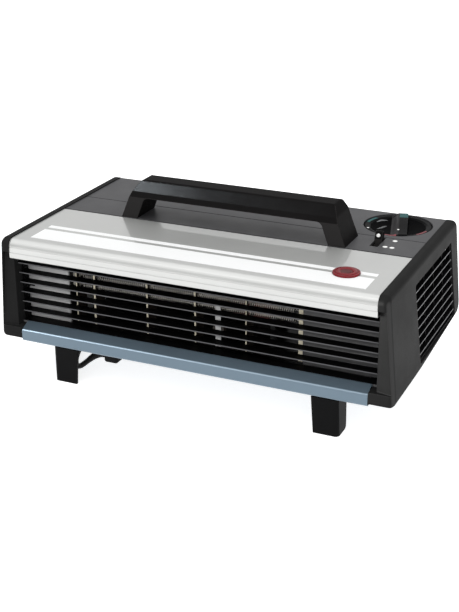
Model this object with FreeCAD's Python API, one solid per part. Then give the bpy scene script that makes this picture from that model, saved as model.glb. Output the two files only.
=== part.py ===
import FreeCAD, Part
import math
import os

os.makedirs("parts", exist_ok=True)

Vec = FreeCAD.Vector

# Fan heater, millimetres. +Z up, floor at z 0, front towards -Y, origin under the middle of the body.
# Depths named *_D are measured back from the front face of the silver cover.

# Body
PANEL_LENGTH = 428.0
HALF_PANEL = PANEL_LENGTH / 2
BODY_TOP = 164.5
BASE_BOTTOM = 42.0
BODY_D = 261.0
PANEL_D = 140.0
COVER_D = BODY_D - PANEL_D
CAP_FRONT = 1.5
CAP_REAR = 6.0
CAP_FRONT_D = -CAP_FRONT
CAP_REAR_D = BODY_D + CAP_REAR
FRONT_Y = -(CAP_FRONT_D + CAP_REAR_D) / 2

# End caps
CAP_OUT = 11.4
CAP_HALF_TOP = HALF_PANEL + CAP_OUT
CAP_SLOPE = 0.085
CAP_RISE = 1.2
CAP_WALL = 3.0
CAP_EDGE_RADIUS = 6.5
CAP_CORNER_RADIUS = 9.0
CAP_HEEL_RADIUS = 16.0
CAP_TOE_RADIUS = 3.5
CAP_RIM = 3.4
RECESS_D = 10.0
RECESS_RIM_D = 1.0
RECESS_DROP = 14.5
TOE_BAR_RISE = 2.5
CAP_BELLY_RADIUS = 1000.0
CAP_TOE_D = 2.5
CAP_TOE_RISE = 2.0
CAP_BELLY_D = 95.0
CAP_BELLY_RISE = 2.0
CAP_HEEL_RISE = 9.5
CAP_TOE = (CAP_TOE_D, BASE_BOTTOM + CAP_TOE_RISE)
CAP_BELLY = (CAP_BELLY_D, BASE_BOTTOM + CAP_BELLY_RISE)
CAP_HEEL = (CAP_REAR_D, BASE_BOTTOM + CAP_HEEL_RISE)
CAP_TOP_REAR = 2.0
CAP_TOP_REAR_D = BODY_D + CAP_TOP_REAR
TONGUE = 7.0
TONGUE_THICK = 2.0
TONGUE_INSET = 9.0
CAP_INNER_WALL = 2.0
CAP_FOOT = 3.0
CAP_FOOT_IN = 23.0
CAP_FOOT_X = HALF_PANEL - CAP_FOOT_IN
CAP_FOOT_FRONT_D = 40.0
CAP_FOOT_BACK = 26.0
CAP_FOOT_D = (CAP_FOOT_FRONT_D, BODY_D - CAP_FOOT_BACK)
CAP_SCREW_INSETS = (15.0, 20.0)
CAP_SCREW_DS = (CAP_FOOT_D[0] + CAP_SCREW_INSETS[0], CAP_FOOT_D[1] - CAP_SCREW_INSETS[1])
CAP_SCREW_IN = 15.0
CAP_SCREW_X = HALF_PANEL - CAP_SCREW_IN
CAP_BOSS_RADIUS = 4.5
CAP_BOSS = 12.0
CAP_SCREW_LENGTH = 11.0

# Side vents
VENT_DROP = 17.0
VENT_RISE = 11.5
VENT_TOP = BODY_TOP - VENT_DROP
VENT_BOTTOM = BASE_BOTTOM + VENT_RISE
VENT_FRONT_D = 88.0
VENT_BACK = 29.0
VENT_REAR_D = BODY_D - VENT_BACK
VENT_LEAN = 10.0
VENT_SLATS = 8
VENT_SLAT_THICK = 1.1
VENT_SLAT_DEPTH = 8.0
VENT_SLAT_SET = 1.0
VENT_GAP = 2.0
VENT_FRAME = 1.6
VENT_FRAME_SET = 2.0
VENT_FLANGE = 4.0
VENT_FLANGE_THICK = 2.0
VENT_RIBS = 3
VENT_RIB = 1.4
VENT_CORNER = 4.0
VENT_LEAST_RADIUS = 1.0

# Sheet metal and panels
SHEET = 0.8
BEND_RADIUS = 2.0
PANEL_THICK = 2.6
FOLD_RADIUS = 9.0
BAND_HEIGHT = 22.3
BAND_RETURN = 7.0
COVER_FLANGE = 7.0
BAND_GROOVE = (1.0, 0.35)
BAND_GROOVES = (7.4, 13.8)
PANEL_EDGE_RADIUS = 3.5
PANEL_SKIRT = 16.0
PANEL_SEAM = 1.0
PANEL_GROOVE_IN = 51.0
PANEL_GROOVE_D = COVER_D + PANEL_GROOVE_IN
PANEL_GROOVE = (1.4, 1.5)
REAR_TOP_GAP = 3.4

# Intake slots of the rear panel
INTAKE_COLUMNS = 3
INTAKE_ROWS = 7
INTAKE_LENGTH = 96.0
INTAKE_HEIGHT = 4.5
INTAKE_STEP_X = 118.0
INTAKE_STEP_Z = 10.5
INTAKE_RISE = 24.0
INTAKE_LOW = BASE_BOTTOM + INTAKE_RISE
INTAKE_RADIUS = 2.2

# Clearances, and how far cutting shapes reach past what they cut
FIT_GAP = 0.5
OVER = 10.0

# Base tray
TRAY_IN = 7.5
TRAY_HALF = HALF_PANEL - TRAY_IN
LIP_D = 2.0
LIP_HEIGHT = 14.0
SILL_D = 18.0
SILL_RISE = 21.0
SILL_TOP = BASE_BOTTOM + SILL_RISE
SILL_RETURN = 5.0
LIP_RADIUS = 3.0
TRAY_FLANGE = 12.0

# Front grille
SLATS = 6
SLAT_DROP = 32.0
SLAT_RISE = 10.0
SLAT_TOP = BODY_TOP - SLAT_DROP
SLAT_PITCH = (SLAT_TOP - SILL_TOP - SLAT_RISE) / (SLATS - 1)
SLAT_D = 15.5
SLAT_LEAN = 0.8
SLAT_DEPTH = 12.4
SLAT_THICK = 1.2
GRILLE_BACK_D = 32.0
GRILLE_END_D = 22.5
GRILLE_BAR = 2.0
GRILLE_RAIL = 3.0
GRILLE_RAIL_D = 3.0

# Controls
DIAL_IN = 46.5
DIAL_X = HALF_PANEL - DIAL_IN
DIAL_BACK = 42.5
DIAL_D = BODY_D - DIAL_BACK
WELL_RADIUS = 39.4
WELL_DEPTH = 8.0
WELL_WALL = 2.0
KNOB_RADIUS = 38.4
KNOB_FLOOR_GAP = 3.2
KNOB_SKIRT = 3.0
KNOB_RIM = 2.2
KNOB_BAR = (19.0, 71.0)
KNOB_TURN = 15.0
KNOB_SHIFT = 1.5
KNOB_BAR_RISE = 3.0
SPINDLE_RADIUS = 3.0
RUNNING_GAP = 0.05
NUT_RADIUS = 7.0
NUT_HEIGHT = 2.4
NUT_RING = 2.0
KNOB_RIM_RISE = 1.2
KNOB_BAR_RADIUS = 3.0
SPINDLE_INSET = 2.0
SPINDLE_DEEP = 6.0
THERMOSTAT = (34.0, 28.0, 24.0)
SLOT_IN = 50.25
SLOT_X = HALF_PANEL - SLOT_IN
SLOT_WIDTH = 9.5
LEVER_IN = 39.0
LEVER_REST_D = COVER_D + LEVER_IN
LEVER_TRAVEL = 15.0
LEVER_STEM = (8.4, 9.0)
LEVER_RISE = 10.4
LEVER_NOSE = 3.0
LEVER_CROWN = 5.0
LEVER_ROUNDS = (2.0, 2.5, 3.0)
SLOT_FRONT_GAP = 1.5
SLOT_REAR_GAP = 5.5
SLOT_D = LEVER_REST_D - LEVER_STEM[1] / 2 - LEVER_TRAVEL - SLOT_FRONT_GAP
SLOT_END_D = LEVER_REST_D + LEVER_STEM[1] / 2 + SLOT_REAR_GAP
SLIDER = (16.0, 14.0, 3.6)
SLIDE_GAP = 0.4
SWITCH_WIDTH = 22.0
SWITCH_HEIGHT = 18.0
SWITCH_EAR = 4.0
SWITCH_FRONT = 10.0
SWITCH_TAG = (5.0, 1.0, 8.0)
SWITCH_TAG_STEP = 12.0
LENS_IN = 50.5
LENS_X = HALF_PANEL - LENS_IN
LENS_D = 50.7
LENS_RADIUS = 12.2
BEZEL_RADIUS = 14.6
BEZEL_HEIGHT = 2.2
BEZEL_ROUND = 1.0
LENS_SKIRT_RADIUS = 10.8
LENS_SKIRT = 9.0
LENS_WALL = 1.6
LENS_CROWN = 4.2
LENS_EDGE = 1.2
LAMP_RADIUS = 3.0
LAMP_SEAT = 2.0
LAMP_TOP_GAP = 3.5
HOLDER_HEIGHT = 5.0

# Trim stripes: front and rear depth of each
STRIPE_IN = 18.5
STRIPE_HALF = HALF_PANEL - STRIPE_IN
STRIPES = ((16.5, 46.5), (53.0, 60.5))
STRIPE_THICK = 0.25

# Handle
HANDLE_SETBACK = 1.0
HANDLE_DEPTH = 43.5
HANDLE_FRONT_D = COVER_D + HANDLE_SETBACK
HANDLE_BACK_D = HANDLE_FRONT_D + HANDLE_DEPTH
HANDLE_IN = 76.5
HANDLE_HALF = HALF_PANEL - HANDLE_IN
HANDLE_TOP = 41.8
HANDLE_LEG = 20.0
HANDLE_GAP = 25.0
HANDLE_LEG_LEAN = 12.7
HANDLE_TOP_LEAN = 19.0
HANDLE_SHOULDER = 32.0
HANDLE_CHIN = 31.0
HANDLE_BEVEL = 17.0
HANDLE_FACE_LEANS = (1.0, 5.0)
HANDLE_BACK_LEAN = 2.5
HANDLE_BACK_BULGE = 0.5
HANDLE_BACK_CHIN = 2.0
HANDLE_BAR_ROUNDS = (3.0, 5.0, 4.0, 6.0)
HANDLE_GAP_LEAN = 9.5
HANDLE_SHOULDER_RADIUS = 14.0
HANDLE_TIP_RADIUS = 4.0
HANDLE_GAP_RADIUS = 7.0
HANDLE_SCREW_INSET = 11.5
HANDLE_SCREW_SETS = (10.0, 9.5)
HANDLE_SCREW_DS = (HANDLE_FRONT_D + HANDLE_SCREW_SETS[0], HANDLE_BACK_D - HANDLE_SCREW_SETS[1])
HANDLE_SCREW_BITE = 13.0

# Feet
FOOT_WIDTH = 31.5
FOOT_DEPTH = 26.5
FOOT_D = 2.5
FOOT_WALL = 2.8
FOOT_FLANGE = 3.0
FOOT_TAPER = 3.0
FOOT_FLARE = 1.2
FOOT_BACK_DRAFT = 2.0
FOOT_SCREW_IN = 15.9
FOOT_CORNER = 5.0
FOOT_TOE_RADIUS = 4.5
RIGHT_FOOT_IN = 53.0
LEFT_FOOT_IN = 63.5
RIGHT_FOOT_X = HALF_PANEL - RIGHT_FOOT_IN
LEFT_FOOT_X = LEFT_FOOT_IN - HALF_PANEL

# Air duct
DUCT_LEFT_IN = 54.0
DUCT_RIGHT_IN = 90.0
DUCT_LEFT = DUCT_LEFT_IN - HALF_PANEL
DUCT_RIGHT = HALF_PANEL - DUCT_RIGHT_IN
BAFFLE_GAP = 2.0
BAFFLE_D = GRILLE_BACK_D + BAFFLE_GAP
FAN_D = 150.0
DUCT_BACK = 55.0
DUCT_BACK_D = FAN_D + DUCT_BACK
SHIELD_TOP = BODY_TOP - COVER_FLANGE - FIT_GAP
SHIELD_BACK = 4.0
SHIELD_BACK_D = COVER_D - SHIELD_BACK
BAFFLE_FOOT = 14.0
BAFFLE_FOOT_D = 60.0
BAFFLE_FLANGE_LOW = 18.0
BAFFLE_FLANGE_GAP = 4.0
BAFFLE_NOTCH = 8.0
BAFFLE_NOTCH_DROPS = (61.0, 67.0)
WIRE_NOTCH_D = (62.0, 84.0)
WIRE_NOTCH = 9.0

# Blower and motor
BUSH_RADIUS = 8.0
BUSH_LENGTH = 8.0
COLLAR = 2.0
SCROLL_SETS = (41.0, 44.0)
SCROLL_DS = (FAN_D + SCROLL_SETS[0], FAN_D + SCROLL_SETS[1])
SCROLL_RISE = 16.0
SCROLL_DROP = 18.5
SCROLL_LIP_RISE = 18.0
SCROLL_RADIUS = 44.0
TONGUE_SETS = (32.0, 42.0)
TONGUE_FRONT_D = 64.0
TONGUE_DS = (FAN_D - TONGUE_SETS[0], FAN_D - TONGUE_SETS[1], TONGUE_FRONT_D)
TONGUE_DROPS = (33.5, 23.5, 17.5)
BLOWER_PLATE_FRONT_D = 66.0
BLOWER_PLATE_BACK = 50.0
BLOWER_PLATE_D = (BLOWER_PLATE_FRONT_D, FAN_D + BLOWER_PLATE_BACK)
BLOWER_PLATE_DROP = 14.5
BLOWER_PLATE_TOP = BODY_TOP - BLOWER_PLATE_DROP
BLOWER_PLATE_RADII = (12.0, 6.0)
BLOWER_END_IN = 104.0
BLOWER_END = DUCT_RIGHT - BLOWER_END_IN
FAN_DROP = 3.25
FAN_Z = (BASE_BOTTOM + BODY_TOP) / 2 - FAN_DROP
SHAFT_RADIUS = 3.0
FAN_RADIUS = 31.0
FAN_INNER = 23.0
FAN_BLADES = 20
FAN_GAPS = (14.0, 12.0)
FAN_START = DUCT_LEFT + FAN_GAPS[0]
FAN_END = BLOWER_END - FAN_GAPS[1]
BLADE_THICK = 1.0
BLADE_TURN = 24.0
BLADE_BELLY = 7.0
BLADE_INSET = 0.4
DISC = 2.0
HUB_RADIUS = 7.0
HUB_LENGTH = 8.0
CORE_GAP = 20.0
CORE_THICK = 20.0
CORE_X = (BLOWER_END + CORE_GAP, BLOWER_END + CORE_GAP + CORE_THICK)
CORE_FRONT = 66.0
CORE_BACK = 22.0
CORE_D = (FAN_D - CORE_FRONT, FAN_D + CORE_BACK)
CORE_HALF = 24.0
CORE_Z = (FAN_Z - CORE_HALF, FAN_Z + CORE_HALF)
SHAFT_TAIL = 8.0
SHAFT_STUB = 18.0
SHAFT_END = CORE_X[1] + SHAFT_STUB
ROTOR_RADIUS = 14.0
AIR_GAP = 0.4
WINDOW_SETS = (54.0, 26.0)
WINDOW_D = (FAN_D - WINDOW_SETS[0], FAN_D - WINDOW_SETS[1])
WINDOW_HALF = 14.0
WINDOW_Z = (FAN_Z - WINDOW_HALF, FAN_Z + WINDOW_HALF)
WINDING = 9.0
POST_RADIUS = 3.5
POST_LENGTH = 9.0
POST_INSET = 4.0
BRACKET = 3.0
BRACKET_WIDTH = 14.0
BRACKET_END_RADIUS = 6.0
BOSS_RADIUS = 7.0
BOSS_LENGTH = 7.0
MOUNT_SETS = (46.0, 8.0)
MOUNT_D = (FAN_D - MOUNT_SETS[0], FAN_D + MOUNT_SETS[1])
MOUNT_FOOT = 10.0
MOUNT_INSET = 2.0

# Heating element: each support card has its share of the duct's length and its thickness
ELEMENT_D = (36.0, 56.0)
ELEMENT_RISE = 20.0
ELEMENT_DROP = 27.5
ELEMENT_Z = (BASE_BOTTOM + ELEMENT_RISE, BODY_TOP - ELEMENT_DROP)
COIL_DROPS = (48.0, 59.0)
COIL_ROWS = [BODY_TOP - drop for drop in COIL_DROPS]
COIL_D = 45.0
COIL_CURLS = 45
COIL_RADIUS = 3.2
COIL_WIRE = 0.9
COIL_LEAD = 4.0
BEAD_LENGTH = 7.0
BEAD_RADIUS = 2.8
CARDS = ((0.030, 1.4), (0.1116, 2.4), (0.346, 2.0), (0.553, 2.0), (0.766, 1.4), (0.987, 5.0))
CARD_CLEAR = 0.3
CUTOUT_IN = 99.5
CUTOUT_X = DUCT_RIGHT - CUTOUT_IN
CUTOUT_STRIP = 6.4
CUTOUT_TOP_DROP = 24.0
CUTOUT_TOP = ELEMENT_Z[1] - CUTOUT_TOP_DROP
CUTOUT_RADIUS = 6.5
CUTOUT_HEIGHT = 7.0
CUTOUT_DROP = 30.0

# Feed-through of the cord, terminal block and inner wires
GLAND_STEP = 44.5
GLAND_WIDTH = 17.0
GLAND_X = (LEFT_FOOT_X + GLAND_STEP, LEFT_FOOT_X + GLAND_STEP + GLAND_WIDTH)
GLAND_D = (11.0, 29.0)
GLAND_HEIGHT = 12.0
GLAND_BOTTOM = BASE_BOTTOM - GLAND_HEIGHT
GLAND_ROUND = 3.0
TERMINAL_STEP_BACK = 6.0
TERMINAL_LENGTH = 34.0
TERMINAL_X = (GLAND_X[0] - TERMINAL_STEP_BACK, GLAND_X[0] - TERMINAL_STEP_BACK + TERMINAL_LENGTH)
TERMINAL_D = (66.0, 82.0)
TERMINAL_HEIGHT = 10.0
TERMINAL_STEP = 10.0
TERMINAL_HOLE = 2.2
WIRE = 2.6
WIRE_STEP = 4.5
WIRE_SHIFT = 6.3
WIRE_RISE = 4.0
WIRE_RUN = 60.0
WIRE_BENDS = ((-40.0, 1.5, 0.4), (-8.0, 4.0, 4.0))
WIRE_CLIMB = (20.0, 30.0)
WIRE_DROP = 24.0

# Mains cord
CORD = 6.4
CORD_HOLE_GAP = 1.3
SLEEVE_RADIUS = 5.2
SLEEVE_LENGTH = 6.0
COIL_OUTER = 44.0
COIL_STEP = 6.9
COIL_TURNS = 4.2
LAYER = 6.9
TIE_THICK = 1.0
TIE_WIDTH = 8.0
TIE_GAP = 0.4
TIE_LIFT = 0.05
TIE_ROUND = 2.0
TIE_ANGLE = math.radians(-75)
PLUG_RADIUS = 21.0
PLUG_LENGTH = 38.0
PLUG_NECK = 14.0
PLUG_NECK_RADII = (5.0, 9.0)
PLUG_NECK_SINK = 4.0
PLUG_SHOULDER = 14.0
PLUG_SHOULDER_LENGTH = 12.0
PLUG_CORNER = 5.0
PLUG_LIFT = 0.05
PIN_RADIUS = 2.5
PIN_LENGTH = 15.0
PIN_STEP = 19.0
PIN_DROP = 4.0
EARTH_RADIUS = 3.3
EARTH_LENGTH = 20.0
EARTH_RISE = 4.5

# Screws
SCREW_RADIUS = 1.6
HEAD_RADIUS = 3.4
HEAD_HEIGHT = 2.2
REAR_SCREW_IN = 24.0
REAR_SCREW_XS = (REAR_SCREW_IN - HALF_PANEL, 0.0, HALF_PANEL - REAR_SCREW_IN)
REAR_SCREW_DROP = 11.0
REAR_SCREW_RISE = 10.0
REAR_SCREW_BITE = 4.2
FOOT_SCREW_LENGTH = 8.0

# Cord route: offset from the left feet, depth from the front or from the back of the case, and height.
# The first two heights are measured down from the tray.
CORD_EXIT_DROPS = (5.5, 9.0)
CORD_EXIT = ((38.5, 20.05), (29.5, 20.25))
CORD_UNDER = ((16.5, 22.55, 21.5), (3.0, 28.05, 9.5), (-7.5, 36.55, 4.6), (-17.5, 51.05, 3.6),
              (-26.5, 71.05, 3.5), (-34.5, 95.05, 3.6), (-37.6, 124.75, 3.5))
CORD_BEHIND = ((-37.0, -102.25, 3.6), (-34.0, -68.45, 3.5), (-29.0, -35.25, 3.6), (-22.0, -2.45, 3.7),
               (-11.0, 27.75, 4.0), (0.0, 52.15, 4.4), (10.5, 70.65, 4.4))

# Route from the coil to the plug: offsets along, beside and above the coil's end
LEAD_ROUTE = ((15.0, 0.0, 0.0), (32.0, -3.5, -1.0), (48.0, -10.5, 0.6), (62.0, -19.5, 2.6),
              (73.0, -28.5, 2.6))


def depth(d):
    return FRONT_Y + d


def box(x0, x1, d0, d1, z0, z1):
    return Part.makeBox(x1 - x0, d1 - d0, z1 - z0, Vec(x0, depth(d0), z0))


def rod(radius, start, end):
    line = Vec(*end) - Vec(*start)
    return Part.makeCylinder(radius, line.Length, Vec(*start), line)


def corner_arc(before, corner, after, radius):
    """Tangent points and middle point of a rounded corner."""
    a = (before - corner).normalize()
    b = (after - corner).normalize()
    half = a.getAngle(b) / 2
    reach = radius / math.tan(half)
    middle = (a + b).normalize()
    centre = corner + middle * (radius / math.sin(half))
    return corner + a * reach, centre - middle * radius, corner + b * reach


def outline(points, place, radii=None):
    """Closed face through flat points, with rounded corners where a radius is given."""
    corners = [place(*p) for p in points]
    radii = radii or {}
    edges = []
    joints = []
    for i, corner in enumerate(corners):
        if radii.get(i):
            joints.append(corner_arc(corners[i - 1], corner, corners[(i + 1) % len(corners)], radii[i]))
        else:
            joints.append((corner, None, corner))
    for i, (start, middle, end) in enumerate(joints):
        if middle is not None:
            edges.append(Part.Arc(start, middle, end).toShape())
        following = joints[(i + 1) % len(joints)][0]
        if (following - end).Length > 1e-6:
            edges.append(Part.LineSegment(end, following).toShape())
    return Part.Face(Part.Wire(edges))


def along_x(points, x0, x1, radii=None):
    """Outline of (depth, z) points, pushed from x0 to x1."""
    face = outline(points, lambda d, z: Vec(x0, depth(d), z), radii)
    return face.extrude(Vec(x1 - x0, 0, 0))


def along_y(points, d0, d1, radii=None):
    """Outline of (x, z) points, pushed from depth d0 to d1."""
    face = outline(points, lambda x, z: Vec(x, depth(d0), z), radii)
    return face.extrude(Vec(0, d1 - d0, 0))


def along_z(points, z0, z1, radii=None):
    """Outline of (x, depth) points, pushed from z0 to z1."""
    face = outline(points, lambda x, d: Vec(x, depth(d), z0), radii)
    return face.extrude(Vec(0, 0, z1 - z0))


def strip(points, thick, radii=None):
    """Points and radii of a bent sheet: the outer line, then the inner one on its left."""
    radii = radii or {}
    inner = []
    inner_radii = {}
    total = len(points)
    for i, point in enumerate(points):
        here = Vec(point[0], point[1], 0)
        into = here - Vec(*points[i - 1], 0) if i else Vec(*points[1], 0) - here
        out = Vec(*points[i + 1], 0) - here if i < total - 1 else into
        into.normalize()
        out.normalize()
        n1 = Vec(-into.y, into.x, 0)
        n2 = Vec(-out.y, out.x, 0)
        shift = (n1 + n2) * (thick / (1 + n1.dot(n2)))
        inner.append((point[0] + shift.x, point[1] + shift.y))
        if radii.get(i):
            left = into.x * out.y - into.y * out.x > 0
            inner_radii[2 * total - 1 - i] = radii[i] - thick if left else radii[i] + thick
    return list(points) + inner[::-1], {**radii, **inner_radii}


def bent_sheet(points, thick, x0, x1, radii=None):
    corners, rounds = strip(points, thick, radii)
    return along_x(corners, x0, x1, rounds)


def mirrored(shape):
    return shape.mirror(Vec(0, 0, 0), Vec(1, 0, 0))


def group(shapes):
    return Part.makeCompound(shapes)


def fused(first, *others):
    return first.multiFuse(list(others)).removeSplitter()


def screw(head_at, direction, length):
    """Pan-head screw: the head's seat is at head_at and the shank runs along direction."""
    start = Vec(*head_at)
    way = Vec(*direction).normalize()
    shank = Part.makeCylinder(SCREW_RADIUS, length, start, way)
    head = Part.makeCylinder(HEAD_RADIUS, HEAD_HEIGHT, start, way * -1)
    return fused(head, shank)


def screw_hole(head_at, direction, length):
    return Part.makeCylinder(SCREW_RADIUS, length, Vec(*head_at), Vec(*direction))


# Drafted caps and side vents

def cap_side(z):
    return CAP_HALF_TOP + CAP_SLOPE * (BODY_TOP - z)


def drafted_slab(near, far):
    """Space between two planes that follow the cap's sloping side, inset by near and far."""
    low, high = BASE_BOTTOM - OVER, BODY_TOP + OVER
    corners = [(cap_side(low) - far, low), (cap_side(low) - near, low),
               (cap_side(high) - near, high), (cap_side(high) - far, high)]
    return along_y(corners, CAP_FRONT_D - OVER, CAP_REAR_D + OVER)


def cap_outline(x0, x1, inset):
    top = BODY_TOP + CAP_RISE
    corners = [(CAP_FRONT_D, top), (CAP_TOP_REAR_D, top), CAP_HEEL, CAP_BELLY, CAP_TOE]
    rounds = {0: CAP_CORNER_RADIUS, 1: CAP_CORNER_RADIUS, 2: CAP_HEEL_RADIUS,
              3: CAP_BELLY_RADIUS, 4: CAP_TOE_RADIUS}
    face = outline(corners, lambda d, z: Vec(x0, depth(d), z), rounds)
    if inset:
        face = face.makeOffset2D(-inset)
    return face.extrude(Vec(x1 - x0, 0, 0))


def vent_space(x0, x1, grow):
    """The leaning vent opening, larger by grow on every side."""
    lean = VENT_LEAN / (VENT_TOP - VENT_BOTTOM) * grow
    corners = [(VENT_FRONT_D - grow - lean, VENT_TOP + grow), (VENT_REAR_D + grow - lean, VENT_TOP + grow),
               (VENT_REAR_D + VENT_LEAN + grow + lean, VENT_BOTTOM - grow),
               (VENT_FRONT_D + VENT_LEAN - grow + lean, VENT_BOTTOM - grow)]
    radius = max(VENT_CORNER + grow, VENT_LEAST_RADIUS)
    return along_x(corners, x0, x1, {i: radius for i in range(4)})


CAP_FAR = cap_side(BASE_BOTTOM) + OVER
TRAY_TOP = BASE_BOTTOM + SHEET


CAP_DEEP = CAP_FAR - HALF_PANEL + OVER
RECESS_LOW = BASE_BOTTOM + LIP_HEIGHT + TOE_BAR_RISE
RECESS_HIGH = BODY_TOP - RECESS_DROP


def cap_pocket():
    """The hollow inside of a cap."""
    return cap_outline(HALF_PANEL, CAP_FAR, CAP_WALL).common(drafted_slab(CAP_WALL, CAP_DEEP))


def cap_recess(grow):
    """The hollow front of a cap between its rim and the grille, larger by grow on every side."""
    near = CAP_FRONT_D - OVER
    corners = [(HALF_PANEL - OVER, near), (CAP_FAR, near), (CAP_FAR, RECESS_RIM_D + grow),
               (HALF_PANEL - OVER, RECESS_D + grow)]
    space = along_z(corners, RECESS_LOW - grow, RECESS_HIGH + grow)
    return space.common(drafted_slab(CAP_RIM - grow, CAP_DEEP))


def well_room():
    """Space left free round the dial well."""
    reach = WELL_RADIUS + WELL_WALL + FIT_GAP
    low = BODY_TOP - WELL_DEPTH - WELL_WALL - FIT_GAP
    return rod(reach, (DIAL_X, depth(DIAL_D), low), (DIAL_X, depth(DIAL_D), BODY_TOP - PANEL_THICK))


def right_end_cap():
    block = cap_outline(HALF_PANEL, CAP_FAR, 0).common(drafted_slab(0, CAP_DEEP))
    side = max(block.Faces, key=lambda f: f.normalAt(0, 0).x * f.Area)
    block = block.makeFillet(CAP_EDGE_RADIUS, side.OuterWire.Edges)
    cap = block.cut(cap_pocket()).cut(vent_space(HALF_PANEL, CAP_FAR, 0))
    roof = BODY_TOP - PANEL_THICK
    wall = HALF_PANEL + CAP_WALL
    cheek = box(HALF_PANEL, HALF_PANEL + CAP_INNER_WALL, CAP_FRONT_D + CAP_INNER_WALL, BAFFLE_D,
                CAP_TOE[1], BODY_TOP - CAP_INNER_WALL)
    cheek = cheek.common(cap_outline(HALF_PANEL, CAP_FAR, 0))
    toe = cap_outline(TRAY_HALF + FIT_GAP, wall, 0)
    toe = toe.common(box(TRAY_HALF, wall, CAP_FRONT_D - OVER, SILL_D, BASE_BOTTOM, RECESS_LOW))
    rear_d = (COVER_D + TONGUE_INSET, BODY_D - 2 * TONGUE_INSET)
    top_tongue = box(HALF_PANEL - TONGUE, wall, *rear_d, roof - TONGUE_THICK, roof).cut(well_room())
    riser = box(HALF_PANEL, wall, *rear_d, roof - TONGUE_THICK, BODY_TOP)
    front_tongue = box(HALF_PANEL - TONGUE, wall, CAP_FOOT_D[0], COVER_D - TONGUE_INSET,
                       BODY_TOP - SHEET - TONGUE_THICK, BODY_TOP - SHEET)
    foot = box(CAP_FOOT_X, wall, *CAP_FOOT_D, TRAY_TOP, TRAY_TOP + CAP_FOOT)
    peak = TRAY_TOP + CAP_BOSS
    bosses = [rod(CAP_BOSS_RADIUS, (CAP_SCREW_X, depth(d), TRAY_TOP), (CAP_SCREW_X, depth(d), peak))
              for d in CAP_SCREW_DS]
    lining = cap_recess(CAP_INNER_WALL).common(block)
    cap = fused(cap, cheek, toe, top_tongue, riser, front_tongue, foot, lining, *bosses).cut(cap_recess(0))
    for d in CAP_SCREW_DS:
        cap = cap.cut(screw_hole((CAP_SCREW_X, depth(d), BASE_BOTTOM), (0, 0, 1), CAP_SCREW_LENGTH))
    return cap


def right_vent_grille():
    back = VENT_SLAT_SET + VENT_SLAT_DEPTH
    inside = drafted_slab(VENT_SLAT_SET, back)
    opening = vent_space(HALF_PANEL, CAP_FAR, -VENT_GAP)
    light = vent_space(HALF_PANEL, CAP_FAR, -VENT_GAP - VENT_FRAME)
    seat = CAP_WALL + VENT_FLANGE_THICK
    frame = opening.cut(light).common(drafted_slab(VENT_FRAME_SET, seat))
    flange = vent_space(HALF_PANEL, CAP_FAR, VENT_FLANGE).cut(light)
    flange = flange.common(drafted_slab(CAP_WALL, seat)).common(cap_pocket())
    pieces = []
    pitch = (VENT_TOP - VENT_BOTTOM) / (VENT_SLATS + 1)
    for i in range(1, VENT_SLATS + 1):
        z = VENT_BOTTOM + i * pitch
        slat = box(HALF_PANEL, CAP_FAR, VENT_FRONT_D, VENT_REAR_D + VENT_LEAN,
                   z - VENT_SLAT_THICK / 2, z + VENT_SLAT_THICK / 2)
        pieces.append(slat.common(opening).common(inside))
    rib_pitch = (VENT_REAR_D - VENT_FRONT_D) / (VENT_RIBS + 1)
    for i in range(1, VENT_RIBS + 1):
        d = VENT_FRONT_D + VENT_LEAN / 2 + i * rib_pitch
        rib = box(HALF_PANEL, CAP_FAR, d - VENT_RIB / 2, d + VENT_RIB / 2, VENT_BOTTOM, VENT_TOP)
        pieces.append(rib.common(opening).common(drafted_slab(CAP_WALL, back)))
    return fused(frame, flange, *pieces)


# Covers, panels and tray

def lens_hole(radius):
    return rod(radius, (LENS_X, depth(LENS_D), BODY_TOP - OVER), (LENS_X, depth(LENS_D), BODY_TOP + OVER))


def front_cover():
    low = BODY_TOP - BAND_HEIGHT
    line = [(COVER_D, BODY_TOP - COVER_FLANGE), (COVER_D, BODY_TOP), (0, BODY_TOP), (0, low),
            (BAND_RETURN, low)]
    rounds = {1: BEND_RADIUS, 2: FOLD_RADIUS, 3: BEND_RADIUS}
    cover = bent_sheet(line, SHEET, -HALF_PANEL, HALF_PANEL, rounds)
    width, deep = BAND_GROOVE
    for rise in BAND_GROOVES:
        z = low + rise
        cover = cover.cut(box(-HALF_PANEL, HALF_PANEL, -OVER, deep, z - width / 2, z + width / 2))
    return cover.cut(lens_hole(LENS_SKIRT_RADIUS))


def trim_stripes():
    stripes = [box(-STRIPE_HALF, STRIPE_HALF, d0, d1, BODY_TOP, BODY_TOP + STRIPE_THICK)
               for d0, d1 in STRIPES]
    return group([stripe.cut(lens_hole(BEZEL_RADIUS + FIT_GAP)) for stripe in stripes])


HANDLE_SCREW_X = HANDLE_HALF - HANDLE_SCREW_INSET
HANDLE_SCREWS = [(side * HANDLE_SCREW_X, d) for side in (-1, 1) for d in HANDLE_SCREW_DS]
PANEL_UNDER = BODY_TOP - PANEL_THICK
BUSHING_RADIUS = NUT_RADIUS - NUT_RING
REAR_FACE_D = BODY_D - PANEL_THICK
REAR_SCREW_TOP = BODY_TOP - REAR_SCREW_DROP
REAR_SCREW_LOW = BASE_BOTTOM + REAR_SCREW_RISE


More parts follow.
